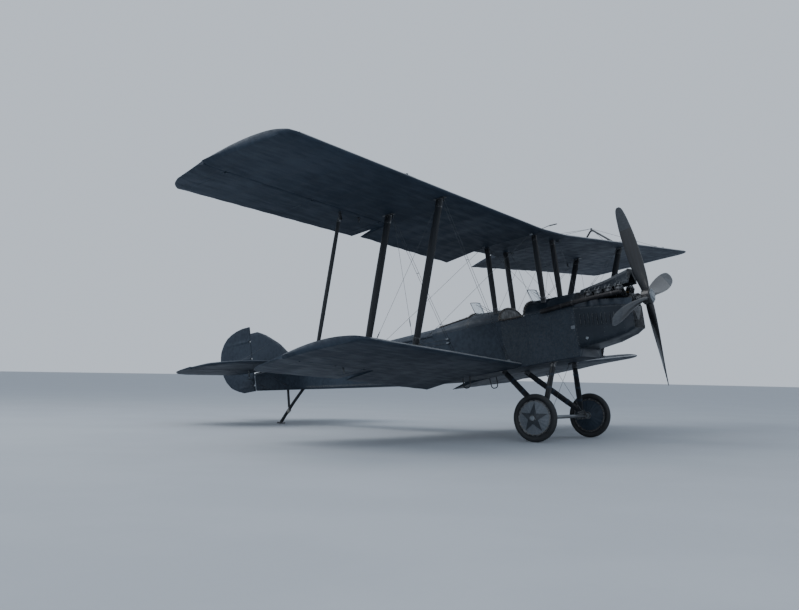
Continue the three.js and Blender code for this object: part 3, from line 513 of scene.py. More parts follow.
def edge_wear(n, vector, amount):
    """Edge wear: the surface's own sharpness, broken up by noise. Gives one mask."""
    rim = n.ramp(n.add("NewGeometry").outputs["Pointiness"], 0.52, 0.60)
    broken = n.ramp(n.noise(vector, 38.0, 5.0, 0.65), 0.38, 0.62)
    return (n.times(n.times(rim, broken), amount),)


LINEN = effect_of("doped linen", doped_linen)
METAL = effect_of("worked metal", worked_metal)
GRAIN = effect_of("wood grain", wood_grain)
HIDE = effect_of("leather hide", leather_hide)
DUST = effect_of("field dust", field_dust)
EDGES = effect_of("edge wear", edge_wear, "Amount", 0.5, ("Mask",))


def finish(name, dark, light, rough, effect, scale=1.0, bump=0.35, depth=0.001, metallic=0.0,
           worn=None, layer=None, turn=(0, 0, 0), **plain):
    """A finish: the effect's mask mixes dark and light and runs the roughness between two values,
    its height drives the bump, worn edges show their own colour, and a layer may add markings."""
    material = bpy.data.materials.new(name)
    material.use_nodes = True
    n = Nodes(material.node_tree)
    shader = material.node_tree.nodes["Principled BSDF"]
    place = n.add("TexCoord").outputs["Object"]
    if any(turn):
        place = n.stretched(place, (1, 1, 1), turn)
    source = n.add("Group", node_tree=effect)
    n.link(place, source.inputs["Vector"])
    source.inputs["Scale"].default_value = scale
    mask, height = source.outputs["Mask"], source.outputs["Height"]
    colour = n.mix(mask, dark, light)
    gloss = n.ramp(mask, 0.0, 1.0, *rough)
    if worn:
        edge = n.add("Group", node_tree=EDGES)
        n.link(place, edge.inputs["Vector"])
        edge.inputs["Amount"].default_value = 0.8
        colour = n.mix(edge.outputs["Mask"], colour, worn)
    if layer:
        colour, height = layer(n, place, colour, height)
    bumps = n.add("Bump")
    bumps.inputs["Strength"].default_value = bump
    bumps.inputs["Distance"].default_value = depth
    n.link(height, bumps.inputs["Height"])
    n.link(bumps.outputs["Normal"], shader.inputs["Normal"])
    n.link(colour, shader.inputs["Base Color"])
    n.link(gloss, shader.inputs["Roughness"])
    shader.inputs["Metallic"].default_value = metallic
    for key, value in plain.items():
        shader.inputs[key.replace("_", " ")].default_value = value
    return material


def part_of(n, place, axis):
    """One coordinate of a place."""
    split = n.add("SeparateXYZ")
    n.link(place, split.inputs[0])
    return split.outputs[axis]


def stripe(n, value, pitch, offset, half, soft):
    """A mask that is one within half of each line of a row of lines a pitch apart."""
    moved = n.math("SUBTRACT", value, offset - pitch / 2)
    away = n.math("ABSOLUTE", n.math("SUBTRACT", n.math("FLOORED_MODULO", moved, pitch), pitch / 2))
    return n.ramp(away, half, half + soft, 1.0, 0.0)


def rib_tapes(n, place, colour, height):
    """Tapes sewn over each rib: a paler strip with frayed edges and a row of stitches."""
    span = n.math("ABSOLUTE", part_of(n, place, 0))
    tape = stripe(n, span, RIB_PITCH, CENTRE_HALF, 0.017, 0.004)
    stitch = n.times(stripe(n, part_of(n, place, 1), 0.085, 0.0, 0.008, 0.004),
                     stripe(n, span, RIB_PITCH, CENTRE_HALF, 0.0022, 0.0015))
    colour = n.mix(n.times(tape, 0.34), colour, TAPE_COLOUR)
    colour = n.mix(n.times(stitch, 0.5), colour, (0.012, 0.014, 0.018))
    raised = n.plus(n.times(tape, 0.6), n.times(stitch, 0.8))
    return colour, n.plus(height, raised)


def laminations(n, place, colour, height):
    """Glued layers: alternate pale and dark boards a pitch apart along the propeller's shaft."""
    depth = part_of(n, n.stretched(place, (1, 1, 1), (PARK_ANGLE, 0, 0)), 1)
    layer = stripe(n, depth, 0.034, 0.0, 0.008, 0.002)
    return n.mix(n.times(layer, 0.45), colour, (0.0110, 0.0100, 0.0100)), height


TAPE_COLOUR = (0.036, 0.046, 0.060)
PARK_ANGLE = float(np.arctan2(UP[1], UP[2]))

WING_LINEN = finish("wing_linen", (0.0180, 0.0280, 0.0440), (0.0340, 0.0500, 0.0740), (0.66, 0.50),
                    LINEN, bump=0.30, depth=0.0012, layer=rib_tapes, Specular_IOR_Level=0.30)
BODY_LINEN = finish("body_linen", (0.0130, 0.0215, 0.0345), (0.0250, 0.0385, 0.0580), (0.68, 0.52),
                    LINEN, 1.4, bump=0.30, depth=0.001, Specular_IOR_Level=0.30)
TAIL_LINEN = finish("tail_linen", (0.0130, 0.0205, 0.0330), (0.0250, 0.0375, 0.0560), (0.66, 0.50),
                    LINEN, 1.2, bump=0.30, depth=0.001, Specular_IOR_Level=0.30)
PLY_PAINT = finish("painted_ply", (0.0150, 0.0240, 0.0370), (0.0250, 0.0380, 0.0560), (0.58, 0.42),
                   LINEN, 1.4, bump=0.22, depth=0.0008, worn=(0.060, 0.064, 0.068),
                   Specular_IOR_Level=0.32)
COWL_PAINT = finish("cowl_paint", (0.0100, 0.0155, 0.0235), (0.0200, 0.0285, 0.0395), (0.34, 0.54),
                    METAL, bump=0.32, depth=0.003, metallic=0.25, worn=(0.10, 0.11, 0.12),
                    Specular_IOR_Level=0.35)
CAST_STEEL = finish("oiled_castings", (0.020, 0.022, 0.026), (0.060, 0.064, 0.070), (0.34, 0.58),
                    METAL, 2.0, bump=0.4, depth=0.001, metallic=0.75, worn=(0.24, 0.25, 0.26))
FIN_STEEL = finish("cylinder_fins", (0.028, 0.031, 0.036), (0.062, 0.067, 0.075), (0.32, 0.52), METAL,
                   3.0, bump=0.3, depth=0.0006, metallic=0.8, worn=(0.14, 0.15, 0.16))
BRIGHT_METAL = finish("dull_aluminium", (0.16, 0.18, 0.20), (0.33, 0.36, 0.39), (0.32, 0.50), METAL,
                      2.0, bump=0.3, depth=0.0008, metallic=0.9)
BURNT_STEEL = finish("burnt_exhaust", (0.016, 0.016, 0.018), (0.052, 0.050, 0.052), (0.45, 0.70),
                     METAL, 2.4, bump=0.35, depth=0.0012, metallic=0.7, worn=(0.08, 0.08, 0.082))
BRASS = finish("dull_brass", (0.22, 0.15, 0.06), (0.42, 0.31, 0.14), (0.28, 0.45), METAL, 3.0,
               bump=0.25, depth=0.0006, metallic=0.9)
STRUT_WOOD = finish("varnished_spruce", (0.0075, 0.0095, 0.0125), (0.018, 0.021, 0.026), (0.40, 0.56),
                    GRAIN, bump=0.14, depth=0.0006, worn=(0.055, 0.055, 0.056), Coat_Weight=0.05,
                    Specular_IOR_Level=0.30)
FRAME_ASH = finish("cockpit_ash", (0.055, 0.045, 0.034), (0.120, 0.098, 0.072), (0.34, 0.5), GRAIN,
                   0.8, bump=0.16, depth=0.0006, turn=(np.pi / 2, 0, 0))
BLADE_WOOD = finish("laminated_mahogany", (0.0085, 0.0095, 0.0120), (0.0200, 0.0215, 0.0255),
                    (0.26, 0.40), GRAIN, 0.8, bump=0.12, depth=0.0006, layer=laminations,
                    Coat_Weight=0.20)
TIP_LINEN = finish("blade_tip_linen", (0.024, 0.030, 0.038), (0.044, 0.053, 0.064), (0.5, 0.36), LINEN,
                   4.0, bump=0.2, depth=0.0005)
# Leading-edge tape: real doped tape, but its pale colour is also a painted highlight of the sky along
# each wing's nose
PALE_TAPE_HIGHLIGHT = finish("leading_edge_tape_and_highlight", (0.13, 0.145, 0.16), (0.22, 0.235, 0.25), (0.42, 0.30), LINEN,
                   2.0, bump=0.2, depth=0.0005)
PAD_LEATHER = finish("pale_hide", (0.060, 0.066, 0.072), (0.120, 0.128, 0.134), (0.55, 0.40), HIDE,
                     bump=0.45, depth=0.0012)
WIRE_STEEL = finish("drawn_wire", (0.050, 0.056, 0.064), (0.130, 0.142, 0.155), (0.38, 0.54), DUST, 4.0,
                    bump=0.1, depth=0.0003, metallic=0.8)
CABLE_STEEL = finish("control_cable", (0.06, 0.065, 0.07), (0.15, 0.16, 0.17), (0.38, 0.55), DUST, 6.0,
                     bump=0.3, depth=0.0004, metallic=0.8)
LEATHER = finish("worn_leather", (0.019, 0.017, 0.017), (0.050, 0.044, 0.040), (0.52, 0.36), HIDE,
                 bump=0.5, depth=0.0012)
RUBBER = finish("tyre_rubber", (0.0070, 0.0085, 0.0105), (0.026, 0.029, 0.033), (0.62, 0.88), DUST,
                bump=0.3, depth=0.0006)
COVER_LINEN = finish("cover_linen", (0.095, 0.112, 0.132), (0.145, 0.165, 0.190), (0.66, 0.52), LINEN,
                     3.0, bump=0.25, depth=0.0006)
STAR_PAINT = finish("star_paint", (0.020, 0.026, 0.034), (0.040, 0.049, 0.060), (0.50, 0.40), LINEN,
                    3.0, bump=0.2, depth=0.0004)
DIAL_FACE = finish("dial_face", (0.012, 0.012, 0.013), (0.020, 0.020, 0.021), (0.35, 0.45), DUST,
                   bump=0.05, depth=0.0002)
DIAL_MARK = finish("dial_marks", (0.55, 0.55, 0.5), (0.72, 0.72, 0.66), (0.5, 0.6), DUST,
                   bump=0.05, depth=0.0002)
CORD_YARN = finish("rubber_cord", (0.16, 0.155, 0.145), (0.34, 0.33, 0.30), (0.7, 0.85), HIDE, 3.0,
                   bump=0.5, depth=0.0006)
FLOOR_PAINT = finish("studio_floor", (0.36, 0.395, 0.435), (0.40, 0.435, 0.475), (0.82, 0.9), DUST,
                     0.1, bump=0.02, depth=0.0005)


def clear_sheet():
    """Celluloid: clear, faintly blue, with fine wipe scratches in its roughness."""
    material = bpy.data.materials.new("clear_sheet")
    material.use_nodes = True
    n = Nodes(material.node_tree)
    shader = material.node_tree.nodes["Principled BSDF"]
    place = n.add("TexCoord").outputs["Object"]
    wipes = n.noise(n.stretched(place, (2.0, 2.0, 30.0)), 20.0, 4.0)
    n.link(n.ramp(wipes, 0.4, 0.7, 0.04, 0.22), shader.inputs["Roughness"])
    n.link(n.mix(wipes, (0.80, 0.86, 0.90), (0.90, 0.93, 0.95)), shader.inputs["Base Color"])
    shader.inputs["Metallic"].default_value = 0.0
    shader.inputs["Transmission Weight"].default_value = 0.92
    shader.inputs["IOR"].default_value = 1.45
    return material


CLEAR = clear_sheet()


# Camera: the photograph's standpoint and direction, and its 46.7 mm lens
EYE = Vector(ORIGIN + (-13.58762, -5.39195, -1.15876))
LOOK = Vector((0.816559, 0.573457, 0.066163))
HEAD = Vector((-0.065080, -0.022432, 0.997628))
camera = bpy.data.objects.new("camera", bpy.data.cameras.new("camera"))
bpy.context.scene.collection.objects.link(camera)
turn = Matrix((LOOK.cross(HEAD), HEAD, -LOOK)).transposed().to_4x4()
camera.matrix_world = Matrix.Translation(EYE) @ turn
camera.data.lens = 46.66
camera.data.sensor_width = 36.0
camera.data.sensor_fit = "HORIZONTAL"
camera.data.clip_end = 400.0
bpy.context.scene.camera = camera


# Wings
def wing_point(le, fraction, height, x):
    """A place on a wing from its chord fraction, its height over the chord line and its span."""
    fraction, height, x = np.broadcast_arrays(np.asarray(fraction, float), height, x)
    rise = np.maximum(np.abs(x) - CENTRE_HALF, 0) * np.tan(DIHEDRAL)
    lean = np.sign(x) * DIHEDRAL * np.clip((np.abs(x) - CENTRE_HALF) / 1.9, 0, 1)
    back = CHORD * fraction
    up = height * np.cos(INCIDENCE) - back * np.sin(INCIDENCE)
    return np.stack([x - up * np.sin(lean),
                     le[0] + back * np.cos(INCIDENCE) + height * np.sin(INCIDENCE),
                     le[1] + rise + up * np.cos(lean)], axis=-1)


def camber_at(t):
    """Height of the mean line: a parabola over the chord."""
    return 4 * CAMBER * t * (1 - t)


def half_thickness(t):
    """Half the section's thickness: the usual root and cubic terms of the chord fraction."""
    return 5 * THICKNESS * (0.2969 * np.sqrt(t) - 0.126 * t - 0.3516 * t ** 2
                            + 0.2843 * t ** 3 - 0.0986 * t ** 4)


def skin_height(at, way):
    """Height of a wing's skin over the chord line: way 1 above, -1 below."""
    return CHORD * (camber_at(at) + way * half_thickness(at))


def between(table, y):
    """Each column of a station table at the places y, along a smooth curve through its rows."""
    table = np.asarray(table, float)
    return [np.interp(y, table[:, 0], table[:, k]) for k in range(1, table.shape[1])]


HINGE_Z = CHORD * camber_at(HINGE)
BAY = np.array([0, 0.03, 0.06, 0.15, 0.28, 0.42, 0.58, 0.72, 0.85, 0.94, 0.97])


def span_stations(start, end, extra=()):
    """Stations from start to end, close together at each rib and apart in the middle of a bay."""
    first = np.floor((start - CENTRE_HALF) / RIB_PITCH)
    count = int(np.ceil((end - start) / RIB_PITCH)) + 2
    ribs = CENTRE_HALF + (first + np.arange(count)) * RIB_PITCH
    x = (ribs[:, None] + BAY * RIB_PITCH).ravel()
    x = np.concatenate([x, [start, end], np.asarray(extra, float)])
    return np.unique(np.round(x[(x >= start - 1e-9) & (x <= end + 1e-9)], 6))


def bay_sag(x):
    """How far cloth pulls in between two ribs, from 0 at a rib to 1 half way."""
    return np.sin(np.pi * (np.abs(x) - CENTRE_HALF) / RIB_PITCH) ** 2


TIP = np.array([(0.700, 0, 1.0), (0.360, 0, 1.0), (0.220, 0.003, 1.0), (0.110, 0.015, 1.0),
                (0.066, 0.06, 0.97), (0.056, 0.17, 0.94), (0.042, 0.40, 0.90), (0.022, 0.60, 0.86),
                (0.0, 0.68, 0.82)])
AILERON_TIP = np.array([(0.304, 1.128), (0.206, 1.093), (0.160, 1.058), (0.114, 1.007),
                        (0.080, 0.898), (0.038, 0.777)])
AILERON_ROOT_BACK = 1.08
CLOTH_SAG = 0.0042


def section_rings(le, side, x, front, back, stop, crown=None, scallop=0.008):
    """Rings of a wing at stations x: the upper skin from back to front and the lower one back again,
    each pulled in between ribs, with the trailing edge drawn forward a little there."""
    sag = bay_sag(x)[:, None]
    edge = scallop / CHORD * sag[:, 0] * (stop >= back)
    front, back = front[:, None], (back - edge)[:, None]
    local = back - front
    limit = np.minimum(1.0, (stop - front) / local)
    up = (1 - np.cos(np.linspace(0, np.pi, 38))) / 2
    low = (1 - np.cos(np.linspace(0, np.pi, 30)))[1:] / 2
    u_top = limit * up[None, ::-1]
    u_low = limit * low[None]
    hold = 1.0 if crown is None else crown[:, None]
    draw = CLOTH_SAG * sag * hold

    def skin(u, way):
        """Height of the cloth over the chord line: way 1 above, -1 below."""
        fade = smoothstep(0.03, 0.22, u) * (1 - smoothstep(0.88, 0.99, u))
        thick = local * hold * half_thickness(u)
        return CHORD * (camber_at(front + local * u) + way * thick) - way * draw * fade

    u = np.concatenate([u_top, u_low], axis=1)
    h = np.concatenate([skin(u_top, 1.0), skin(u_low, -1.0)], axis=1)
    return wing_point(le, front + local * u, h, side * x[:, None])


def wing_axes(le, x):
    """Directions on a wing at a span station: back along the chord, over it, and across both."""
    at, behind, above = wing_point(le, np.array([0, 1.0, 0]), np.array([0, 0, 1.0]), x)
    back, over = unit(behind - at), unit(above - at)
    return np.array([back, over, np.cross(back, over)])


def lug_places(root, tip):
    """Span stations of an aileron's three hinges."""
    end = tip - 0.330
    return [root + 0.160, (root + end) / 2, end - 0.060]


def bracket(at, ahead, across, height=0.020):
    """A hinge bracket: two thin cheeks beside the slot's middle, joined by a pin on the hinge."""
    at, ahead, across = (np.asarray(v, float) for v in (at, ahead, across))
    over = np.cross(across, ahead)
    cheek = np.array([(-0.062, -height / 2), (0.004, -height / 2), (0.012, -0.004), (0.012, 0.004),
                      (0.004, height / 2), (-0.062, height / 2)])
    parts = []
    for way in (-1, 1):
        parts.append(slab(cheek, -0.0015, 0.0015, 0.0006, (-ahead, over, across),
                          at + way * 0.0125 * across))
    parts.append(rod(at - 0.0155 * across, at + 0.0155 * across, 0.0050, 12))
    return merged(parts)


def wing_shape(le, side, root, tip, aileron):
    """One wing: full chord as far as the aileron, then as far back as the aileron's gap."""
    x = span_stations(root, aileron)
    inner = section_rings(le, side, x, np.zeros(len(x)), np.ones(len(x)), 1.0)
    stop = HINGE - (AILERON_NOSE + AILERON_SLOT) / CHORD
    near_tip = tip - np.array([0.30, 0.22, 0.16, 0.12, 0.09, 0.078, 0.070, 0.066, 0.061, 0.056, 0.049,
                               0.042, 0.032, 0.022, 0.015, 0.008, 0.003])
    x = span_stations(aileron - 0.001, tip, near_tip)
    inset = tip - x
    front, back = between(TIP[::-1], inset)
    crown = np.sqrt(np.clip(1 - (1 - np.clip(inset / 0.055, 0, 1)) ** 2, 0.05, 1))
    outer = section_rings(le, side, x, front, back, stop, crown)
    return tube_of(inner), tube_of(outer)


def hinge_brackets(le, side, root, tip):
    """The three brackets that carry an aileron."""
    out = []
    for x in lug_places(root, tip):
        at = wing_point(le, HINGE, HINGE_Z, side * x)
        back = unit(wing_point(le, HINGE + 0.1, HINGE_Z, side * x) - at)
        across = unit(wing_point(le, HINGE, HINGE_Z, side * (x + 0.1)) - at)
        out.append(bracket(at, -back, across))
    return out


def hinged_rings(place, span, back, nose, slots, sag, flat=0.0045):
    """Rings of a hinged surface. place(span, aft, height) gives a point from the hinge line. The nose
    is an arc round the hinge, cut flat behind each slot, and the sides run straight to a thin back
    edge, drawn in by sag between ribs."""
    turns = np.radians(np.linspace(100, 260, 13))
    aft = np.broadcast_to(nose * np.cos(turns), (len(span), 13)).copy()
    high = np.broadcast_to(nose * np.sin(turns), (len(span), 13)).copy()
    cut = np.zeros(len(span), bool)
    for middle, half in slots:
        cut |= np.abs(span - middle) < half
    aft[cut] = SLOT_BACK
    share = np.linspace(0, 1, 16)[1:]
    reach = back[:, None]
    start_aft, start_high = aft[:, -1:], high[:, -1:]
    low_aft = start_aft + (reach - start_aft) * share
    taper = np.abs(start_high) * (1 - share) + flat * share
    high[cut] *= 1 - SLOT_BACK / np.maximum(reach[cut], 0.05)
    bow = sag[:, None] * np.sin(np.pi * share) ** 0.7
    low_high = -(taper - bow)
    tip = np.array([(0.0035, -0.6), (0.0035, 0.6)])
    tip_aft = reach + tip[:, 0]
    tip_high = np.broadcast_to(flat * tip[:, 1], (len(span), 2))
    aft_all = np.concatenate([aft, low_aft, tip_aft, low_aft[:, ::-1]], axis=1)
    high_all = np.concatenate([high, low_high, tip_high, -low_high[:, ::-1]], axis=1)
    return place(span[:, None], aft_all, high_all)


def notch_stations(slots):
    """Two stations close together on each side of every slot, which give it square walls."""
    return [m + way * (h + step) for m, h in slots for way in (-1, 1) for step in (-0.0003, 0.0003)]


def aileron_shape(le, side, root, tip):
    """An aileron from its root gap to its raked outer end."""
    slots = [(x, LUG_WIDTH / 2 + GAP) for x in lug_places(root, tip)]
    ends = tip - np.array([0.304, 0.25, 0.18, 0.16, 0.137, 0.114, 0.097, 0.080, 0.059, 0.045])
    x = span_stations(root + 0.008, tip - 0.038, notch_stations(slots) + list(ends))
    table = np.vstack([[(tip - root, AILERON_ROOT_BACK)], AILERON_TIP])
    back = (between(table[::-1], tip - x)[0] - HINGE) * CHORD

    def place(span, aft, high):
        """The aileron's points, from the wing's own directions."""
        return wing_point(le, HINGE + aft / CHORD, HINGE_Z + high, side * span)

    sag = 0.0025 * bay_sag(x)
    return tube_of(hinged_rings(place, x, back - 0.006 * bay_sag(x), AILERON_NOSE, slots, sag))


PLANES = (("upper", UPPER_LE, CENTRE_HALF + GAP, UPPER_TIP, UPPER_AILERON),
          ("lower", LOWER_LE, BODY_HALF + GAP, LOWER_TIP, LOWER_AILERON))


def link_plate(le, side, low, high):
    """The small horn that an aileron link joins."""
    at = wing_point(le, HINGE + LINK_BACK / CHORD, HINGE_Z, side * LINK_X)
    outline = np.array([(-0.020, low), (0.020, low), (0.010, high), (-0.010, high)])
    return slab(outline, -0.005, 0.005, 0.0015, wing_axes(le, side * LINK_X), at)


def cable_horn(le, side, x):
    """A short double horn for the control cables, standing above and below an aileron."""
    at = wing_point(le, HINGE + 0.055 / CHORD, HINGE_Z, side * x)
    outline = np.array([(-0.022, -0.02), (0.022, -0.02), (0.004, 0.095), (-0.010, 0.095)])
    return merged([slab(outline * (1, way), -0.002, 0.002, 0.0008, wing_axes(le, side * x), at)
                   for way in (1, -1)])


def wings():
    """Wings, ailerons, their brackets and horns on both sides."""
    for name, side in SIDES:
        for plane, le, root, tip, aileron in PLANES:
            inner, outer = wing_shape(le, side, root, tip, aileron)
            piece(f"{plane}_{name}_wing_skin", [inner, outer], WING_LINEN,
                  nodes=(f"{plane}_wing_{name}",), sharp=50)
            # Leading-edge tape, pale as a painted highlight along the nose
            piece(f"{plane}_{name}_nose_tape", [nose_tape_and_highlight(le, side, root, tip)], PALE_TAPE_HIGHLIGHT)
            piece(f"{plane}_{name}_hinge_brackets", hinge_brackets(le, side, aileron, tip),
                  BRIGHT_METAL)
            body = f"{plane}_aileron_{name}"
            piece(f"{plane}_{name}_aileron_skin", [aileron_shape(le, side, aileron, tip)], WING_LINEN,
                  body, (body,), sharp=50)
            low, high = (-0.080, -0.010) if plane == "upper" else (0.010, 0.054)
            fittings = [link_plate(le, side, low, high), cable_horn(le, side, aileron + 0.55)]
            piece(f"{plane}_{name}_aileron_horns", fittings, CAST_STEEL, body)


def nose_tape_and_highlight(le, side, root, tip):
    """A doped tape along a wing's leading edge: a strip of the skin over the nose, a little proud. Its
    pale colour is partly a painted highlight, the sky's reflection along the nose.
    """
    x = np.linspace(root + 0.004, tip - 0.240, 60)[:, None]
    u = np.array([0.0, 0.0008, 0.003, 0.007, 0.012])[None]
    skin = skin_height(u, 1) + 0 * x
    over = wing_point(le, u - 0.0006, skin + 0.0010, side * x)
    under = wing_point(le, u + 0.0004, skin - 0.0006, side * x)
    return tube_of(np.concatenate([over, under[:, ::-1]], axis=1))


def skin_strip(le, x, stop, half=0.022, proud=0.0012):
    """A thin band of cloth round a wing's section, from the upper skin over the nose to the lower."""
    u = np.concatenate([np.linspace(stop, 0.0, 40), np.linspace(0.0, stop, 40)[1:]])
    way = np.repeat([1.0, -1.0], (40, 39))
    centre = wing_point(le, u, skin_height(u, way), x)
    out = np.cross(np.gradient(centre, axis=0), PORT)
    out /= np.linalg.norm(out, axis=1)[:, None]
    out *= np.sign(out[0, 2])
    section = np.array([(-half, -proud), (-half + 0.001, proud), (half - 0.001, proud),
                        (half, -proud)])
    return tube_of(centre[:, None] + section[:, :1] * PORT + section[:, 1:] * out[:, None])


def centre_section():
    """Centre section between the two upper wings, cut away behind the rear spar."""
    x = np.linspace(-CENTRE_HALF, CENTRE_HALF, 25)
    sag = np.sin(np.pi * (x + CENTRE_HALF) / (CENTRE_HALF / 1.5)) ** 2
    rings = section_rings(UPPER_LE, 1.0, x, np.zeros(25), np.ones(25), CUTOUT)
    rings[:, :, 2] -= 0.0015 * sag[:, None]
    piece("centre_section_skin", [tube_of(rings)], WING_LINEN, nodes=("centre_section",), sharp=50)
    strips = [skin_strip(UPPER_LE, side * CENTRE_HALF, CUTOUT) for _, side in SIDES]
    piece("root_joint_strips", strips, BODY_LINEN)


wings()
centre_section()


# Fuselage
REAR_START = 3.3004
REAR_BODY = ((REAR_START, 0.370, -0.720, 0.000, 0.142), (4.200, 0.325, -0.640, 0.005, 0.112),
             (5.200, 0.232, -0.520, 0.012, 0.066), (6.150, 0.132, -0.400, 0.020, 0.022),
             (6.200, 0.127, -0.393, 0.021, 0.021), (7.330, 0.022, -0.252, 0.030, 0.012))
BODY_FRAMES = np.array([3.30, 3.85, 4.42, 5.00, 5.58, 6.15, 6.75, 7.33])
STRINGERS = 7


def frame_stations(frames, count):
    """Stations in every bay between frames, with both ends of each bay."""
    return np.unique(np.concatenate([np.linspace(a, b, count)
                                     for a, b in zip(frames[:-1], frames[1:])]))


def bay_share(frames, y):
    """How far along its bay each place y is, from 0 at a frame to 1 at the next."""
    bay = np.clip(np.searchsorted(frames, y, side="right") - 1, 0, len(frames) - 2)
    return (y - frames[bay]) / (frames[bay + 1] - frames[bay])


def rear_fuselage():
    """Rear fuselage: flat sides of cloth drawn in between the spacers, and a rounded top carried by
    stringers, drawn in between them."""
    y = np.unique(np.append(frame_stations(BODY_FRAMES, 11), REAR_START))
    y = y[y >= REAR_START]
    half, bottom, top, crown = (v[:, None] for v in between(REAR_BODY, y))
    sag = np.sin(np.pi * bay_share(BODY_FRAMES, y))[:, None] ** 2
    v = np.linspace(0, 1, 13)[None]
    draw = 0.006 * sag * np.sin(np.pi * v) * smoothstep(0.02, 0.2, half)
    side_x = half - draw
    side_z = bottom + (top - bottom) * v
    t = np.linspace(0, np.pi, 57)[None, 1:-1]
    dip = 0.0045 * np.sin(STRINGERS * t) ** 2 * smoothstep(0.02, 0.15, crown)
    deck_x = half * np.cos(t) - dip * np.cos(t)
    deck_z = top + (crown - dip) * np.sin(t)
    w = np.linspace(-1, 1, 15)[None, 1:-1]
    floor_x = half * w
    floor_z = bottom + 0.004 * sag * (1 - w ** 2)
    x = np.concatenate([side_x, deck_x, -side_x[:, ::-1], floor_x], axis=1)
    z = np.concatenate([side_z, deck_z, side_z[:, ::-1], floor_z], axis=1)
    rings = grid_of(x, y[:, None], z)
    piece("rear_body_skin", [tube_of(rings)], BODY_LINEN, nodes=("rear_fuselage",), sharp=32)


def edge_point(name, y, out):
    """A place on the top or bottom longeron's corner of the fuselage, moved out sideways."""
    half, bottom, top, _ = between(REAR_BODY, np.maximum(y, REAR_START))
    return grid_of(half + out, y, top if name == "top" else bottom)


def body_seams():
    """Strips along the longerons and frames, and the lacing where the side covers are laced up."""
    y = np.linspace(3.31, 7.30, 60)
    strips, hooks = [], []
    for _, side in SIDES:
        for name, lift in (("top", -0.012), ("bottom", 0.012)):
            line = edge_point(name, y, 0.0006) * (side, 1, 1) + (0, 0, lift)
            strips.append(sweep(line, oval(0.0012, 0.014), (side, 0, 0)))
        for frame_y in BODY_FRAMES[1:-1]:
            a = edge_point("bottom", np.array([frame_y]), 0.0004)[0] * (side, 1, 1) + (0, 0, 0.01)
            b = edge_point("top", np.array([frame_y]), 0.0004)[0] * (side, 1, 1) - (0, 0, 0.01)
            line = a + (b - a) * np.linspace(0, 1, 5)[:, None]
            strips.append(sweep(line, oval(0.011, 0.0010), (side, 0, 0)))
        lace_y = np.arange(3.36, 6.1, 0.045)
        low = edge_point("bottom", lace_y, 0.0012) * (side, 1, 1) + (0, 0, 0.030)
        high = low + (0, 0.0225, 0.022)
        path = np.empty((2 * len(low), 3))
        path[0::2], path[1::2] = low, high
        hooks.append(sweep(path, circle(0.0013, 5), (side, 0, 0)))
        hooks.append(studs(0.0045, 0.0018, [(path - (side * 0.0012, 0, 0), (side, 0, 0))]))
    piece("body_seam_tapes", strips, TAIL_LINEN)
    piece("body_lacing", hooks, CORD_YARN)


SIDE_FRAMES = np.array([0.950, 1.330, 1.720, 2.120, 2.700, 2.960, 3.230, 3.300])
PLY_END = 2.120
RIM_TO = np.radians(46)


def cockpit_rim(side):
    """Raised edge along the rear cockpit: the decking's arch, cut off at 46 degrees."""
    y = np.linspace(2.7004, 3.2296, 25)[:, None]
    crown = np.interp(y, (2.70, 3.23), (0.215, 0.135))
    t = np.linspace(0, RIM_TO, 17)[None]
    loops = []
    for inset in (0.0, 0.012):
        foot = (BODY_HALF - inset) * np.ones_like(y)
        x = np.concatenate([foot, (BODY_HALF - inset) * np.cos(t) + 0 * y], axis=1)
        z = np.concatenate([-0.005 + 0 * y, ARCH_BASE + (crown - inset) * np.sin(t)], axis=1)
        loops.append(grid_of(side * x, y, z))
    return tube_of(np.concatenate([loops[0], loops[1][:, ::-1]], axis=1))


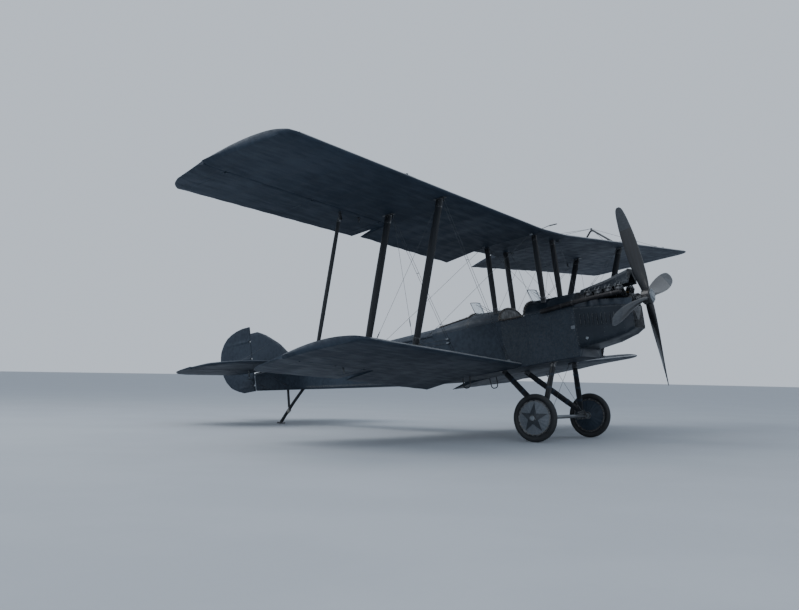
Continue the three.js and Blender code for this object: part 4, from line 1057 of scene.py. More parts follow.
def cockpit_sides():
    """Sides of the cockpits: a box wall with eased corners whose outer face is drawn in between the
    frames behind the plywood, with screws round the plywood and inspection plates."""
    for name, side in SIDES:
        y = frame_stations(SIDE_FRAMES, 9)
        sag = 0.0045 * np.sin(np.pi * bay_share(SIDE_FRAMES, y)) ** 2 * (y > PLY_END)
        v = np.linspace(0, 1, 15)
        z = np.concatenate([-0.716 + 0.712 * v, [0.0, 0.0], -0.004 - 0.712 * v, [-0.72, -0.72]])
        outer = BODY_HALF - sag[:, None] * np.sin(np.pi * v)
        rest = np.concatenate([[0.366, 0.334], np.full(15, INNER_HALF), [0.334, 0.366]])
        x = np.concatenate([outer, np.broadcast_to(rest, (len(y), len(rest)))], axis=1)
        piece(f"{name}_body_side", [tube_of(grid_of(side * x, y[:, None], z))], BODY_LINEN,
              nodes=(f"cockpit_side_{name}",), sharp=32)
        piece(f"{name}_cockpit_rim", [cockpit_rim(side)], PLY_PAINT, sharp=50)
        # Plywood over the forward bays, with its screws
        outline = rounded(PLY_END - 0.955, 0.700, 0.03) + ((PLY_END + 0.955) / 2, -0.362)
        axes = ((0, 1, 0), (0, 0, 1), (side, 0, 0))
        ply = slab(outline, -0.0005, 0.0022, 0.0008, axes, (side * BODY_HALF, 0, 0))
        seam = [slab(rounded(0.030, 0.690, 0.006) + (at, -0.362), 0.0, 0.0038, 0.0008, axes,
                     (side * BODY_HALF, 0, 0)) for at in (1.33, 1.72)]
        piece(f"{name}_ply_side", [ply] + seam, PLY_PAINT)
        at = [(u, w) for u in np.arange(0.98, 2.11, 0.062) for w in (-0.030, -0.694)]
        at += [(u, w) for u in (0.975, 1.33, 1.72, 2.10) for w in np.arange(-0.66, -0.05, 0.062)]
        spots = np.array([(side * (BODY_HALF + 0.0022), u, w) for u, w in at])
        piece(f"{name}_ply_screws", [studs(0.0042, 0.0016, [(spots, (side, 0, 0))])], CAST_STEEL)
        plates = [slab(rounded(0.060, 0.048, 0.012) + (0.990, -0.300), 0.0010, 0.0055, 0.0015, axes,
                       (side * BODY_HALF, 0, 0)),
                  rod((side * 0.374, 1.008, -0.300), (side * 0.382, 1.008, -0.300), 0.006, 10)]
        piece(f"{name}_inspection_plates", plates, BRIGHT_METAL)
        # Stirrup step below the rear cockpit
        step = curve(np.array([(0.368, 2.74, -0.70), (0.40, 2.74, -0.75), (0.41, 2.75, -0.86),
                               (0.41, 2.80, -0.885), (0.41, 2.85, -0.86), (0.40, 2.86, -0.75),
                               (0.368, 2.86, -0.70)]) * (side, 1, 1), 40)
        piece(f"{name}_foot_step", [sweep(step, circle(0.008, 10), (side, 0, 0.02))], CAST_STEEL)


def deck_rings(y, crown0, crown1):
    """Rings of a decking: flat below, an elliptic arch above whose height runs from crown0 to
    crown1."""
    crown = (crown0 + (crown1 - crown0) * (y - y[0]) / (y[-1] - y[0]))[:, None]
    t = np.linspace(0, np.pi, 61)
    x = np.concatenate([BODY_HALF * np.cos(t), [-BODY_HALF, BODY_HALF]])
    z = np.concatenate([ARCH_BASE + crown * np.sin(t), np.full((len(y), 2), GAP)], axis=1)
    return grid_of(x, y[:, None], z)


# Each decking from y to y with its arch's height at both: the cockpits lie between them
DECKS = (("front", 0.950, 1.720, 0.205, 0.215, COWL_PAINT, ("front_deck",), "cowl_metal"),
         ("mid", PLY_END, 2.700, 0.190, 0.215, PLY_PAINT, ("mid_deck",), "body_fabric"),
         ("head", 3.230, 3.320, 0.135, 0.135, BODY_LINEN, (), "body_fabric"))


def deck_arc(y, crown, lift=0.0, start=0.0, end=np.pi, count=61):
    """Places along a decking's arch at y, lifted off it."""
    t = np.linspace(start, end, count)
    return grid_of((BODY_HALF + lift) * np.cos(t), y, ARCH_BASE + (crown + lift) * np.sin(t))


def decks():
    """Deckings with their edge bands, screws, and the step strips between sheets."""
    for name, y0, y1, crown0, crown1, material, nodes, slot in DECKS:
        rings = deck_rings(np.linspace(y0, y1, 13), crown0, crown1)
        piece(f"{name}_decking", [tube_of(rings)], material, nodes=nodes, sharp=40)
    bands, screws = [], []
    for y, crown in ((0.972, 0.2055), (1.33, 0.2102), (1.695, 0.2148), (2.145, 0.192), (2.675, 0.214)):
        arc = deck_arc(y, crown, 0.0008)
        bands.append(sweep(arc, oval(0.0012, 0.016)))
        at = deck_arc(y, crown, 0.0018, 0.08, np.pi - 0.08, 25)
        screws.append((at, at * (1, 0, 1) + (0, 0, 0.05)))
    piece("deck_joint_bands", bands, COWL_PAINT)
    pads = [end_pad(start, crown) for _, start, _, crown, *_ in DECKS[1:]]
    piece("deck_end_pads", pads, PAD_LEATHER, sharp=60)
    piece("deck_screws", [studs(0.0042, 0.0018, screws)], CAST_STEEL)


def end_pad(y, crown):
    """Quilted pad on a decking's front end: a half ellipse, swelling between its stitched rows."""
    t = np.linspace(0, np.pi, 49)
    arch = np.column_stack([0.350 * np.cos(t), 0.022 + (crown - 0.020) * np.sin(t)])
    base = np.column_stack([np.linspace(-0.350, 0.350, 32)[1:-1], np.full(30, 0.022)])
    loop = np.vstack([arch, base])
    middle = np.array([0.0, 0.42 * crown])
    share = np.concatenate([np.linspace(0.02, 0.94, 16), [0.97, 0.99, 1.0, 1.0]])[:, None]
    flat = middle + (loop - middle)[None] * share[:, :, None]
    rows = np.abs(np.cos(np.pi * flat[..., 0] / 0.078)) ** 0.6
    depth = 0.0015 + 0.0125 * (1 - share ** 10) * (0.45 + 0.55 * rows)
    depth[-1] = 0.0004
    return tube_of(grid_of(flat[..., 0], y - depth, flat[..., 1]))


FLOOR_LENGTH = 2.288
FLOOR_MIDDLE = 2.126


def dial_line(at, degrees, reach, lift, radius, sides):
    """A straight mark on a dial, between two distances from its middle, lifted off its face."""
    way = np.array([np.sin(np.radians(degrees)), 0, np.cos(np.radians(degrees))])
    low, high = (np.array(at) + way * r + (0, lift, 0) for r in reach)
    return rod(low, high, radius, sides)


def cockpit_inside():
    """Floor boards, bulkhead, inner frames, instrument boards with plain dials, sticks and bars."""
    boards = []
    for k in range(8):
        outline = rounded(0.0812, FLOOR_LENGTH, 0.004, 2) + ((k - 3.5) * 0.0824, FLOOR_MIDDLE)
        boards.append(slab(outline, -0.7165, FLOOR_TOP, 0.002))
    piece("floor_boards", boards, FRAME_ASH, nodes=("cockpit_floor",))
    outline = rounded(0.6588, FLOOR_LENGTH, 0.004, 2) + (0, FLOOR_MIDDLE)
    piece("belly_cloth", [slab(outline, -0.7196, -0.7170, 0.001)], BODY_LINEN)
    outline = rounded(0.658, 0.718, 0.03) + (0, -0.360)
    wall = slab(outline, 0.9504, 0.9792, 0.003, FRONT_FACE)
    piece("bulkhead_panel", [wall], PLY_PAINT, nodes=("firewall",))
    frames = []
    for _, side in SIDES:
        inward = ((0, 1, 0), (0, 0, 1), (-side, 0, 0))
        for y in SIDE_FRAMES[1:-1]:
            frames.append(slab(rounded(0.030, 0.690, 0.006) + (y, -0.345), 0.0, 0.018, 0.003,
                               inward, (side * INNER_HALF, 0, 0)))
        for z in (-0.030, -0.380, -0.670):
            frames.append(slab(rounded(2.26, 0.028, 0.006) + (2.12, z), 0.0, 0.022, 0.003,
                               inward, (side * INNER_HALF, 0, 0)))
    piece("inner_frames", frames, FRAME_ASH)
    face = rounded(0.655, 0.318, 0.05) + (0, -0.140)
    board = slab(face, 0.0, 0.019, 0.003, FRONT_FACE, (0, 2.6405, 0))
    piece("instrument_board", [board], STRUT_WOOD)
    rims, faces, marks = [], [], []
    dials = ((-0.19, -0.10, 0.052), (-0.06, -0.10, 0.044), (0.07, -0.09, 0.055), (0.20, -0.11, 0.046),
             (-0.13, -0.215, 0.034), (0.14, -0.215, 0.034))
    for x, z, r in dials:
        at = (x, 2.6598, z)
        ring = [(r, 0.0), (r + 0.006, 0.002), (r + 0.005, 0.012), (r, 0.014), (r - 0.003, 0.010),
                (r - 0.003, 0.002)]
        rims.append(lathe(ring, at, (0, 1, 0), 40, wrap=True))
        faces.append(lathe([(r, 0.0), (r, 0.003)], at, (0, 1, 0), 40))
        marks += [dial_line(at, turn, (0.78 * r, 0.92 * r), 0.0034, 0.0009, 4)
                  for turn in np.arange(-135, 136, 27)]
        marks.append(dial_line(at, 35 + 400 * x, (0, 0.7 * r), 0.0046, 0.0011, 5))
    piece("dial_rims", rims, BRASS)
    piece("dial_faces", faces, DIAL_FACE)
    piece("dial_marks", marks, DIAL_MARK)
    controls, grips = [], []
    for y in (1.62, 2.78):
        path = [(0, y, -0.690), (0, y + 0.005, -0.50), (0, y + 0.02, -0.30), (0, y + 0.035, -0.19)]
        controls.append(pipe(path, 0.011, 14, 24, (1, 0.1, 0)))
        controls.append(lathe([(0.03, 0), (0.034, 0.01), (0.02, 0.03), (0.012, 0.05)],
                              (0, y, FLOOR_TOP), (0, 0, 1), 20))
        ring = even_turns(24)
        loop = grid_of(0.045 * np.cos(ring), y + 0.04, -0.15 + 0.05 * np.sin(ring))
        grips.append(loop_tube(loop, circle(0.011, 10), np.cross((0, 1, 0), round_loop(loop)),
                               (0, 1, 0)))
        bar_y = y - 0.36
        controls.append(pin((0, bar_y, -0.60), 0.22, 0.013, 12))
        controls.append(rod((0, bar_y, FLOOR_TOP), (0, bar_y, -0.58), 0.016, 12))
        for x in (-0.21, 0.21):
            controls.append(rod((x, bar_y, -0.60), (x, bar_y + 0.004, -0.53), 0.009, 10))
    piece("control_sticks", controls, CAST_STEEL)
    piece("stick_grips", grips, CORD_YARN)


def seats():
    """Wicker-sided pans on pedestals: a dished pan, a curved back with an eased rim, and legs."""
    for name, y in SEATS:
        parts = [slab(rounded(0.418, 0.378, 0.06) + (0, y), -0.4292, SEAT_TOP, 0.006)]
        for _, side in SIDES:
            for v in (-0.10, 0.10):
                low, high = ((side * 0.112, y + v, z) for z in (-0.6898, -0.4285))
                parts.append(rod(low, high, 0.014, 12))
            parts.append(rod((side * 0.112, y - 0.105, -0.55), (side * 0.112, y + 0.105, -0.50),
                             0.009, 10))
        parts.append(rod((-0.112, y, -0.46), (0.112, y, -0.60), 0.009, 10))
        rows = np.linspace(0, 1, 15)
        z = SEAT_TOP + rows * 0.348
        bow = np.linspace(-1, 1, 25)
        edge = 0.205 * (1 - 0.12 * smoothstep(0.75, 1.0, rows)[:, None])
        x = edge * bow[None]
        outer = grid_of(x, y + 0.184 - 0.018 * bow ** 2, z[:, None])
        inner = outer[:, ::-1] - (0, 0.008, 0)
        parts.append(tube_of(np.concatenate([outer, inner], axis=1)))
        slats = [pin((0, y + 0.158, z), 0.198, 0.0035, 6) for z in np.arange(-0.37, -0.07, 0.03)]
        piece(f"{name}_seat_frame", parts, FRAME_ASH, nodes=(f"{name}_seat",))
        piece(f"{name}_seat_weave", slats, CORD_YARN)


rear_fuselage()
body_seams()
cockpit_sides()
decks()
cockpit_inside()
seats()


# Engine and nose
CYLINDER_ROWS = (0.300, 0.455, 0.610, 0.765)
CYLINDER_LEAN = np.radians(45)
CYLINDER_BASE = -0.070
FINS = 15


def bank_axis(side):
    """Direction of a bank's cylinders, leaning out at 45 degrees."""
    return np.array([side * np.sin(CYLINDER_LEAN), 0.0, np.cos(CYLINDER_LEAN)])


def on_cylinder(y, side, along, forward, across):
    """A place near a cylinder: along its axis, forward of it and across it to the outside."""
    axis = bank_axis(side)
    out = np.array([side * np.cos(CYLINDER_LEAN), 0.0, -np.sin(CYLINDER_LEAN)])
    return np.array([0, y - forward, CYLINDER_BASE]) + axis * along + out * across


def finned_barrel():
    """Radius and place along a cylinder: a flange, then fins whose reach grows towards the head."""
    profile = [(0.060, 0.088), (0.060, 0.098), (0.044, 0.100)]
    for k in range(FINS):
        at = 0.106 + k * 0.0112
        reach = 0.054 + 0.007 * k / FINS
        profile += [(0.043, at), (reach, at + 0.0012), (reach, at + 0.0030), (0.043, at + 0.0042)]
    top = 0.106 + FINS * 0.0112
    head = ((0.050, 0.002), (0.0595, 0.006), (0.0595, 0.018), (0.054, 0.022), (0.054, 0.026),
            (0.0595, 0.030), (0.0595, 0.036), (0.046, 0.046), (0.020, 0.052))
    return profile + [(reach, top + rise) for reach, rise in head]


def cylinders():
    """Eight finned cylinders with heads, valve gear, push rods, plugs and their leads."""
    barrels, heads, rods, plugs, leads = [], [], [], [], []
    for _, side in SIDES:
        axis = bank_axis(side)
        for y in CYLINDER_ROWS:
            barrels.append(lathe(finned_barrel(), (0, y, CYLINDER_BASE), axis, 40))
            for forward in (-0.030, 0.030):
                base = on_cylinder(y, side, 0.300, forward, -0.018)
                heads.append(rod(base, on_cylinder(y, side, 0.336, forward, -0.018), 0.017, 14))
                rods.append(rod(on_cylinder(y, side, 0.085, forward * 1.15, -0.055),
                                on_cylinder(y, side, 0.338, forward * 1.15, -0.055), 0.0050, 10))
                a = on_cylinder(y, side, 0.342, forward, -0.060)
                b = on_cylinder(y, side, 0.342, forward, 0.006)
                rods.append(sweep([a, (a + b) / 2 + axis * 0.006, b], oval(0.005, 0.008)))
            heads.append(rod(on_cylinder(y, side, 0.315, -0.040, -0.030),
                             on_cylinder(y, side, 0.315, 0.040, -0.030), 0.013, 12))
            a, b = on_cylinder(y, side, 0.285, 0.0, 0.045), on_cylinder(y, side, 0.305, 0.0, 0.080)
            plugs.append(rod(a, a + (b - a) * 0.5, 0.0095, 6))
            plugs.append(rod(a + (b - a) * 0.4, b, 0.0055, 10))
            leads.append(pipe([b, b + (0, 0.02, 0.022), on_cylinder(y, side, 0.20, -0.05, 0.085),
                               on_cylinder(y, side, 0.12, -0.06, 0.075)], 0.0035, 8, 24))
        harness = [on_cylinder(CYLINDER_ROWS[0], side, 0.12, 0.05, 0.078),
                   on_cylinder(CYLINDER_ROWS[-1], side, 0.12, -0.08, 0.078)]
        leads.append(rod(harness[0], harness[1], 0.009, 12))
        intake = [(side * 0.100, CYLINDER_ROWS[0] - 0.02, 0.090), (side * 0.104, 0.53, 0.094),
                  (side * 0.100, CYLINDER_ROWS[-1] + 0.02, 0.090)]
        plugs.append(pipe(intake, 0.021, 16, 24, (1, 0, 0)))
    return barrels, heads, rods, plugs, leads


def crankcase():
    """Crankcase: a cast body with webs and flanges, the shaft housing, a cover and its bolts."""
    table = ((0.200, 0.120, -0.300, -0.040, 0.100), (0.225, 0.132, -0.330, -0.045, 0.098),
             (0.300, 0.165, -0.420, -0.060, 0.090), (0.880, 0.165, -0.420, -0.060, 0.090))
    y = np.linspace(0.200, 0.880, 103)
    half, bottom, top, crown = (v[:, None] for v in between(table, y))
    web = 0.006 * (np.abs((y - 0.2225) % 0.0775 - 0.03875) < 0.006)[:, None] * (y > 0.31)[:, None]
    t = np.linspace(0, np.pi, 25)[None]
    v = np.linspace(0, 1, 12)[None, 1:]
    low_t = np.linspace(0, np.pi / 2, 6)[None]
    corner = 0.05
    arch_x, arch_z = (half - 0.004 + web) * np.cos(t), top + (crown - 0.004 + web) * np.sin(t)
    drop = top - (top - bottom - corner) * v
    wall_x = -(half - 0.004 + web) + 0 * drop
    turn_x = -(half - corner) - corner * np.cos(low_t)
    turn_z = bottom + corner - corner * np.sin(low_t)
    x = np.concatenate([arch_x, wall_x, turn_x, -turn_x[:, ::-1], -wall_x[:, ::-1]], axis=1)
    z = np.concatenate([arch_z, drop, turn_z, turn_z[:, ::-1], drop[:, ::-1]], axis=1)
    parts = [tube_of(grid_of(x, y[:, None], z))]
    parts.append(lathe([(0.085, 0), (0.085, 0.02), (0.066, 0.034), (0.062, 0.052), (0.050, 0.058),
                        (0.039, 0.058)], (0, 0.205, HUB[2]), (0, -1, 0), 40))
    for _, side in SIDES:
        for y0 in CYLINDER_ROWS:
            pad = rounded(0.122, 0.124, 0.02)
            axis = bank_axis(side)
            parts.append(slab(pad, 0.0, 0.016, 0.003, ((0, 1, 0), np.cross(axis, (0, 1, 0)), axis),
                              (0, y0, CYLINDER_BASE) + axis * 0.076))
        parts.append(slab(rounded(0.66, 0.05, 0.02) + (0.56, -0.20), 0.0, 0.020, 0.004,
                          ((0, 1, 0), (0, 0, 1), (side, 0, 0)), (side * 0.160, 0, 0)))
    parts.append(slab(rounded(0.12, 0.22, 0.03) + (0, -0.25), 0.868, 0.9490, 0.006, FRONT_FACE))
    return parts


def engine():
    """The V-eight and its fittings. It stands for the frame's engine."""
    barrels, heads, rods, plugs, leads = cylinders()
    piece("cylinder_barrels", barrels, FIN_STEEL, nodes=("engine",), sharp=30)
    piece("crankcase_casting", crankcase(), CAST_STEEL)
    piece("cylinder_heads", heads, CAST_STEEL)
    piece("push_rods_rockers", rods, WIRE_STEEL)
    piece("plugs_intakes", plugs, BRASS)
    piece("ignition_leads", leads, RUBBER)
    t = even_turns(10)
    bolts = [(grid_of(0.076 * np.cos(t), 0.186, 0.076 * np.sin(t) + HUB[2]), (0, -1, 0))]
    bolts += [(grid_of(side * 0.180, np.arange(0.26, 0.87, 0.05), -0.20), (side, 0, 0))
              for _, side in SIDES]
    piece("crankcase_bolts", [studs(0.0075, 0.007, bolts)], WIRE_STEEL)


COWL = ((0.165, 0.185, -0.445, -0.125), (0.280, 0.235, -0.500, -0.105),
        (0.560, 0.310, -0.562, -0.070), (0.9496, 0.370, -0.605, -0.030))


def cowl_section(half, bottom, top, inset=0.0):
    """Half rounded trough: down one side, round the bevelled corner and along the bottom."""
    bevel = half * 0.42
    corner = np.array([(1.0, 0.0), (1.0, 0.55), (0.93, 0.80), (0.80, 0.93), (0.55, 1.0), (0.0, 1.0)])
    v = np.linspace(0, 1, 12)[1:-1]
    x = np.concatenate([[half], np.full(10, half), half - bevel + bevel * corner[:, 0],
                        np.linspace(half - bevel, 0, 9)[1:]]) - inset
    z = np.concatenate([[top], top + (bottom + bevel - top) * v,
                        bottom + bevel - bevel * corner[:, 1],
                        np.full(8, bottom)]) + inset * smoothstep(0.4, 1.0, np.arange(25) / 17.0)
    x = np.maximum(x, 0)
    return x, z


def nose_cowl():
    """Nose cowl: an open sheet trough with a rolled upper rim, pressed louvres and a front plate."""
    y = np.linspace(0.165, 0.9496, 60)
    half, bottom, top = between(COWL, y)
    rings = []
    for k in range(len(y)):
        outer, inner = (mirrored(*cowl_section(half[k], bottom[k], top[k], inset))
                        for inset in (0.0, 0.004))
        loop = np.vstack([outer, inner[::-1]])
        rings.append(grid_of(loop[:, 0], y[k], loop[:, 1]))
    parts = [tube_of(np.array(rings))]
    face = mirrored(*cowl_section(half[0], bottom[0], top[0]))
    parts.append(slab(face * (0.998, 1.0), 0.1652, 0.1695, 0.0015, FRONT_FACE))
    parts.append(sweep(grid_of(face[:, 0], 0.169, face[:, 1]), circle(0.007, 10)))
    caps = []
    for _, side in SIDES:
        rim = np.column_stack([side * (half - 0.002), y, top])
        parts.append(sweep(rim, circle(0.0065, 10), (side, 0, 0)))
        for at in np.arange(0.40, 0.90, 0.058):
            h, _, t = (float(v) for v in between(COWL, at))
            louvre = np.array([(side * (h + 0.001), at, t - 0.10), (side * (h + 0.010), at, t - 0.12),
                               (side * (h + 0.010), at, t - 0.24), (side * (h + 0.001), at, t - 0.26)])
            parts.append(sweep(louvre, oval(0.012, 0.005)))
        cap = np.array([side * 0.343, 0.810, -0.485])
        caps.append(lathe([(0.0, 0.024), (0.016, 0.023), (0.021, 0.018), (0.021, 0.002), (0.026, 0.0)],
                          cap, (side, 0, -0.1), 24))
    piece("nose_cowl_sheet", parts, COWL_PAINT, nodes=("nose_cowl",), sharp=35)
    piece("cowl_drain_caps", caps, BRIGHT_METAL)
    shields = []
    for _, side in SIDES:
        low = np.column_stack([side * (half - 0.010), y, top - 0.012])
        high = np.column_stack([side * 0.72 * half, y, top + 0.100])
        shields.append(tube_of(np.stack([low, high, high + (-side * 0.002, 0, 0.0005),
                                         low + (-side * 0.002, 0, -0.0005)], axis=1)))
    piece("cylinder_shields", shields, TAIL_LINEN, sharp=30)
    rivets = []
    for at in (0.290, 0.56, 0.935):
        xs, zs = mirrored(*cowl_section(*(float(v) for v in between(COWL, at)))).T
        run = np.concatenate([[0], np.cumsum(np.hypot(np.diff(xs), np.diff(zs)))])
        u = np.arange(0.03, run[-1], 0.055)
        px, pz = np.interp(u, run, xs), np.interp(u, run, zs)
        nx = np.gradient(pz, u)
        nz = -np.gradient(px, u)
        flip = np.sign(px * nx + (pz + 0.3) * nz + 1e-9)
        rivets.append((grid_of(px, at, pz), grid_of(nx * flip, 0.0, nz * flip)))
    piece("cowl_rivets", [studs(0.0046, 0.0022, rivets)], CAST_STEEL)


SCOOP = ((0.170, 0.150, 0.190, 0.385), (0.520, 0.150, 0.175, 0.300), (0.900, 0.160, 0.160, 0.235))


def air_scoop():
    """Air scoop: a sheet arch between the banks, open in front with a wired lip, falling aft."""
    y = np.linspace(0.170, 0.900, 48)
    half, low, high = between(SCOOP, y)
    arc = np.linspace(0, np.pi / 2, 9)
    rings = []
    for k in range(len(y)):
        loops = []
        for inset in (0.0, 0.0035):
            h, top = half[k] - inset, high[k] - inset
            reach = min(0.058, (top - low[k]) * 0.9)
            x = np.concatenate([[h], h - 0.055 + 0.055 * np.cos(arc), [0.0]])
            z = np.concatenate([[low[k]], top - reach + reach * np.sin(arc), [top + 0.004]])
            loops.append(mirrored(x, z))
        loop = np.vstack([loops[0], loops[1][::-1]])
        rings.append(grid_of(loop[:, 0], y[k], loop[:, 1]))
    rings = np.array(rings)
    parts = [tube_of(rings)]
    count = rings.shape[1] // 2
    lip = rings[0, :count] + (0, 0.004, 0)
    parts.append(sweep(lip, circle(0.006, 10)))
    for at in (0.345, 0.52, 0.72):
        k = int(np.argmin(np.abs(y - at)))
        band = rings[k, :count] * (1.004, 1, 1) + (0, 0, 0.0008)
        parts.append(sweep(band, oval(0.0015, 0.011)))
    parts.append(slab(rings[-1, :count, ::2], 0.8955, 0.8990, 0.001, FRONT_FACE))
    piece("scoop_sheet", parts, COWL_PAINT, nodes=("air_scoop",), sharp=35)
    straps = []
    for _, side in SIDES:
        for at in (0.378, 0.532, 0.688, 0.845):
            h, lo, _ = (float(v) for v in between(SCOOP, at))
            strap = ((side * (h - 0.003), at, lo + 0.03), (side * (h + 0.001), at, lo),
                     (side * 0.135, at, 0.075))
            straps.append(sweep(strap, oval(0.010, 0.0022)))
    piece("scoop_brackets", straps, BRIGHT_METAL)


EXHAUST_PATH = ((0.330, 0.215, 0.060), (0.335, 0.300, 0.059), (0.352, 0.500, 0.055),
                (0.384, 0.760, 0.045), (0.416, 0.920, 0.030), (0.420, 1.100, 0.018),
                (0.420, 1.420, 0.000))


def exhausts():
    """Exhaust pipes with a branch from each cylinder, sleeves, clamps and an open end."""
    for name, side in SIDES:
        path = curve(np.array(EXHAUST_PATH) * (side, 1, 1), 90)
        size = np.ones(90)
        size[:6] = np.sqrt(np.linspace(0.12, 1, 6))
        wall = [sweep(path, circle(0.032, 28), (1, 0.1, 0), size)]
        wall.append(lathe([(0.0275, 0), (0.0320, 0.0015), (0.0335, -0.004), (0.0335, -0.012),
                           (0.0315, -0.014), (0.0270, -0.006)], path[-1], (0, 1, -0.06), 32, wrap=True))
        wall.append(lathe([(0.0272, 0.0003), (0.0272, -0.0002)], path[-1] + (0, 0.0012, 0),
                          (0, 1, -0.06), 32))
        for y in CYLINDER_ROWS:
            k = int(np.argmin(np.abs(path[:, 1] - y)))
            start = on_cylinder(y, side, 0.292, 0.0, 0.040)
            wall.append(pipe([start, start + (side * 0.035, 0.004, -0.012),
                              path[k] - (side * 0.012, 0.0, -0.004), path[k] + (0, 0.012, 0)],
                             0.0215, 20, 20, (0, 1, 0.05)))
            wall.append(lathe([(0.022, 0), (0.034, 0.001), (0.034, 0.007), (0.022, 0.009)],
                              start - (side * 0.006, 0, 0), (side, 0, -0.3), 24))
        for at in (20, 42, 60, 74):
            along = unit(path[at + 1] - path[at - 1])
            wall.append(lathe([(0.0318, -0.011), (0.0345, -0.010), (0.0345, 0.010), (0.0318, 0.011)],
                              path[at], along, 32, wrap=True))
        for y, z in ((1.02, 0.022), (1.34, 0.004)):
            wall.append(rod((side * 0.366, y, z + 0.045), (side * 0.418, y, z), 0.006, 8))
        piece(f"{name}_exhaust_pipe", wall, BURNT_STEEL, nodes=(f"exhaust_{name}",))


def windscreens():
    """Curved clear sheets in a metal binding, with a foot strip and two stays."""
    for name, y, crown in (("front", 1.580, 0.2132), ("rear", 2.560, 0.2090)):
        t = np.radians(np.linspace(50, 130, 33))
        reach = 0.2475
        base_z = ARCH_BASE + crown * np.sqrt(1 - (0.225 * np.cos(t) / BODY_HALF) ** 2)
        share = np.linspace(0, 1, 14)[:, None]
        z = (base_z + 0.0008) + (0.400 - base_z) * share
        grown = np.clip((z - 0.150) / 0.250, 0, 1)

        def sheet(outer):
            """One face of the bent sheet, wider and further back as it rises."""
            return grid_of(outer * np.cos(t), y + reach - outer * 1.1 * np.sin(t) + 0.090 * grown, z)

        front, rear = sheet(0.225), sheet(0.222)
        rings = np.concatenate([front, rear[:, ::-1]], axis=1)
        piece(f"{name}_screen_sheet", [tube_of(rings)], CLEAR, nodes=(f"{name}_windscreen",))
        middle = (front + rear) / 2
        loop = np.vstack([middle[:, 0], middle[-1, 1:], middle[-2::-1, -1]])
        binding = [sweep(loop, circle(0.0048, 8), (0.2, 1, 0.1)),
                   sweep(middle[0] - (0, 0.004, 0.0), oval(0.009, 0.0025), (0, 0.5, 1))]
        for k in (8, 24):
            top = middle[-3, k]
            at = np.array([top[0] * 0.8, top[1] - 0.200, 0])
            at[2] = 0.016 + crown * np.sqrt(1 - (at[0] / BODY_HALF) ** 2)
            binding.append(rod(top, at, 0.003, 8))
        piece(f"{name}_screen_binding", binding, CAST_STEEL)


engine()
nose_cowl()
air_scoop()
exhausts()
windscreens()


# Struts and rigging
INTERPLANE = (0.040, 0.115)
CABANE = (0.034, 0.092)
CABANE_X = 0.285
CABANE_AFT = 0.030 / CHORD


def strut(foot, top, size, bulge=0.12, sock=0.11):
    """A streamlined strut, thickest in the middle, with metal sockets. Gives wood, then metal."""
    foot, top = np.asarray(foot, float), np.asarray(top, float)
    share = np.linspace(0, 1, 25)
    path = foot + (top - foot) * share[:, None]
    swell = 1 - bulge * (2 * share - 1) ** 2 * 1.6
    wood = sweep(path, teardrop(*size), (0, 1, 0), np.clip(swell, 0.7, 1.0))
    length = np.linalg.norm(top - foot)
    metal = []
    for a, b in ((foot, top), (top, foot)):
        way = (b - a) / length
        reach = sock * np.linspace(0, 1, 5)
        metal.append(sweep(a + way * reach[:, None], teardrop(size[0] * 1.10, size[1] * 1.04),
                           scale=0.84 + 0.06 * np.linspace(0, 1, 5)))
        for k in (0.3, 0.7):
            at = a + way * sock * k
            metal.append(pin(at, size[0] * 0.56, 0.0045, 8))
    return wood, metal


def turnbuckle(a, b, at=0.28, size=0.0065):
    """A turnbuckle on the wire from a to b, at a distance from a: a barrel between two eyes."""
    a, b = np.asarray(a, float), np.asarray(b, float)
    way = unit(b - a)
    middle = a + way * at
    profile = [(0.0028, -0.055), (0.0042, -0.045), (size * 0.75, -0.036), (size, -0.016), (size, 0.016),
               (size * 0.75, 0.036), (0.0042, 0.045), (0.0028, 0.055)]
    return lathe(profile, middle, way, 12)


def stay(a, b, radius=0.0024, at=0.28):
    """A wire and its turnbuckle, whose distance is taken from a, or from b where it is negative."""
    return [wire(a, b, radius), turnbuckle(a, b, at) if at > 0 else turnbuckle(b, a, -at)]


def doubled(a, b, gap=0.034):
    """A pair of wires side by side along y, with a spacer where they would hum, and turnbuckles."""
    a, b = np.asarray(a, float), np.asarray(b, float)
    parts = []
    for way in (-0.5, 0.5):
        shift = np.array([0, way * gap, 0])
        parts += stay(a + shift, b + shift)
    for share in (0.33, 0.66):
        at = a + (b - a) * share
        parts.append(rod(at - (0, gap * 0.6, 0), at + (0, gap * 0.6, 0), 0.004, 6))
    return parts


def eye_plate(at):
    """A small folded plate that a wire's end is pinned to."""
    return slab(rounded(0.05, 0.034, 0.012), -0.0015, 0.0015, 0.0006, SIDE_FACE, at)


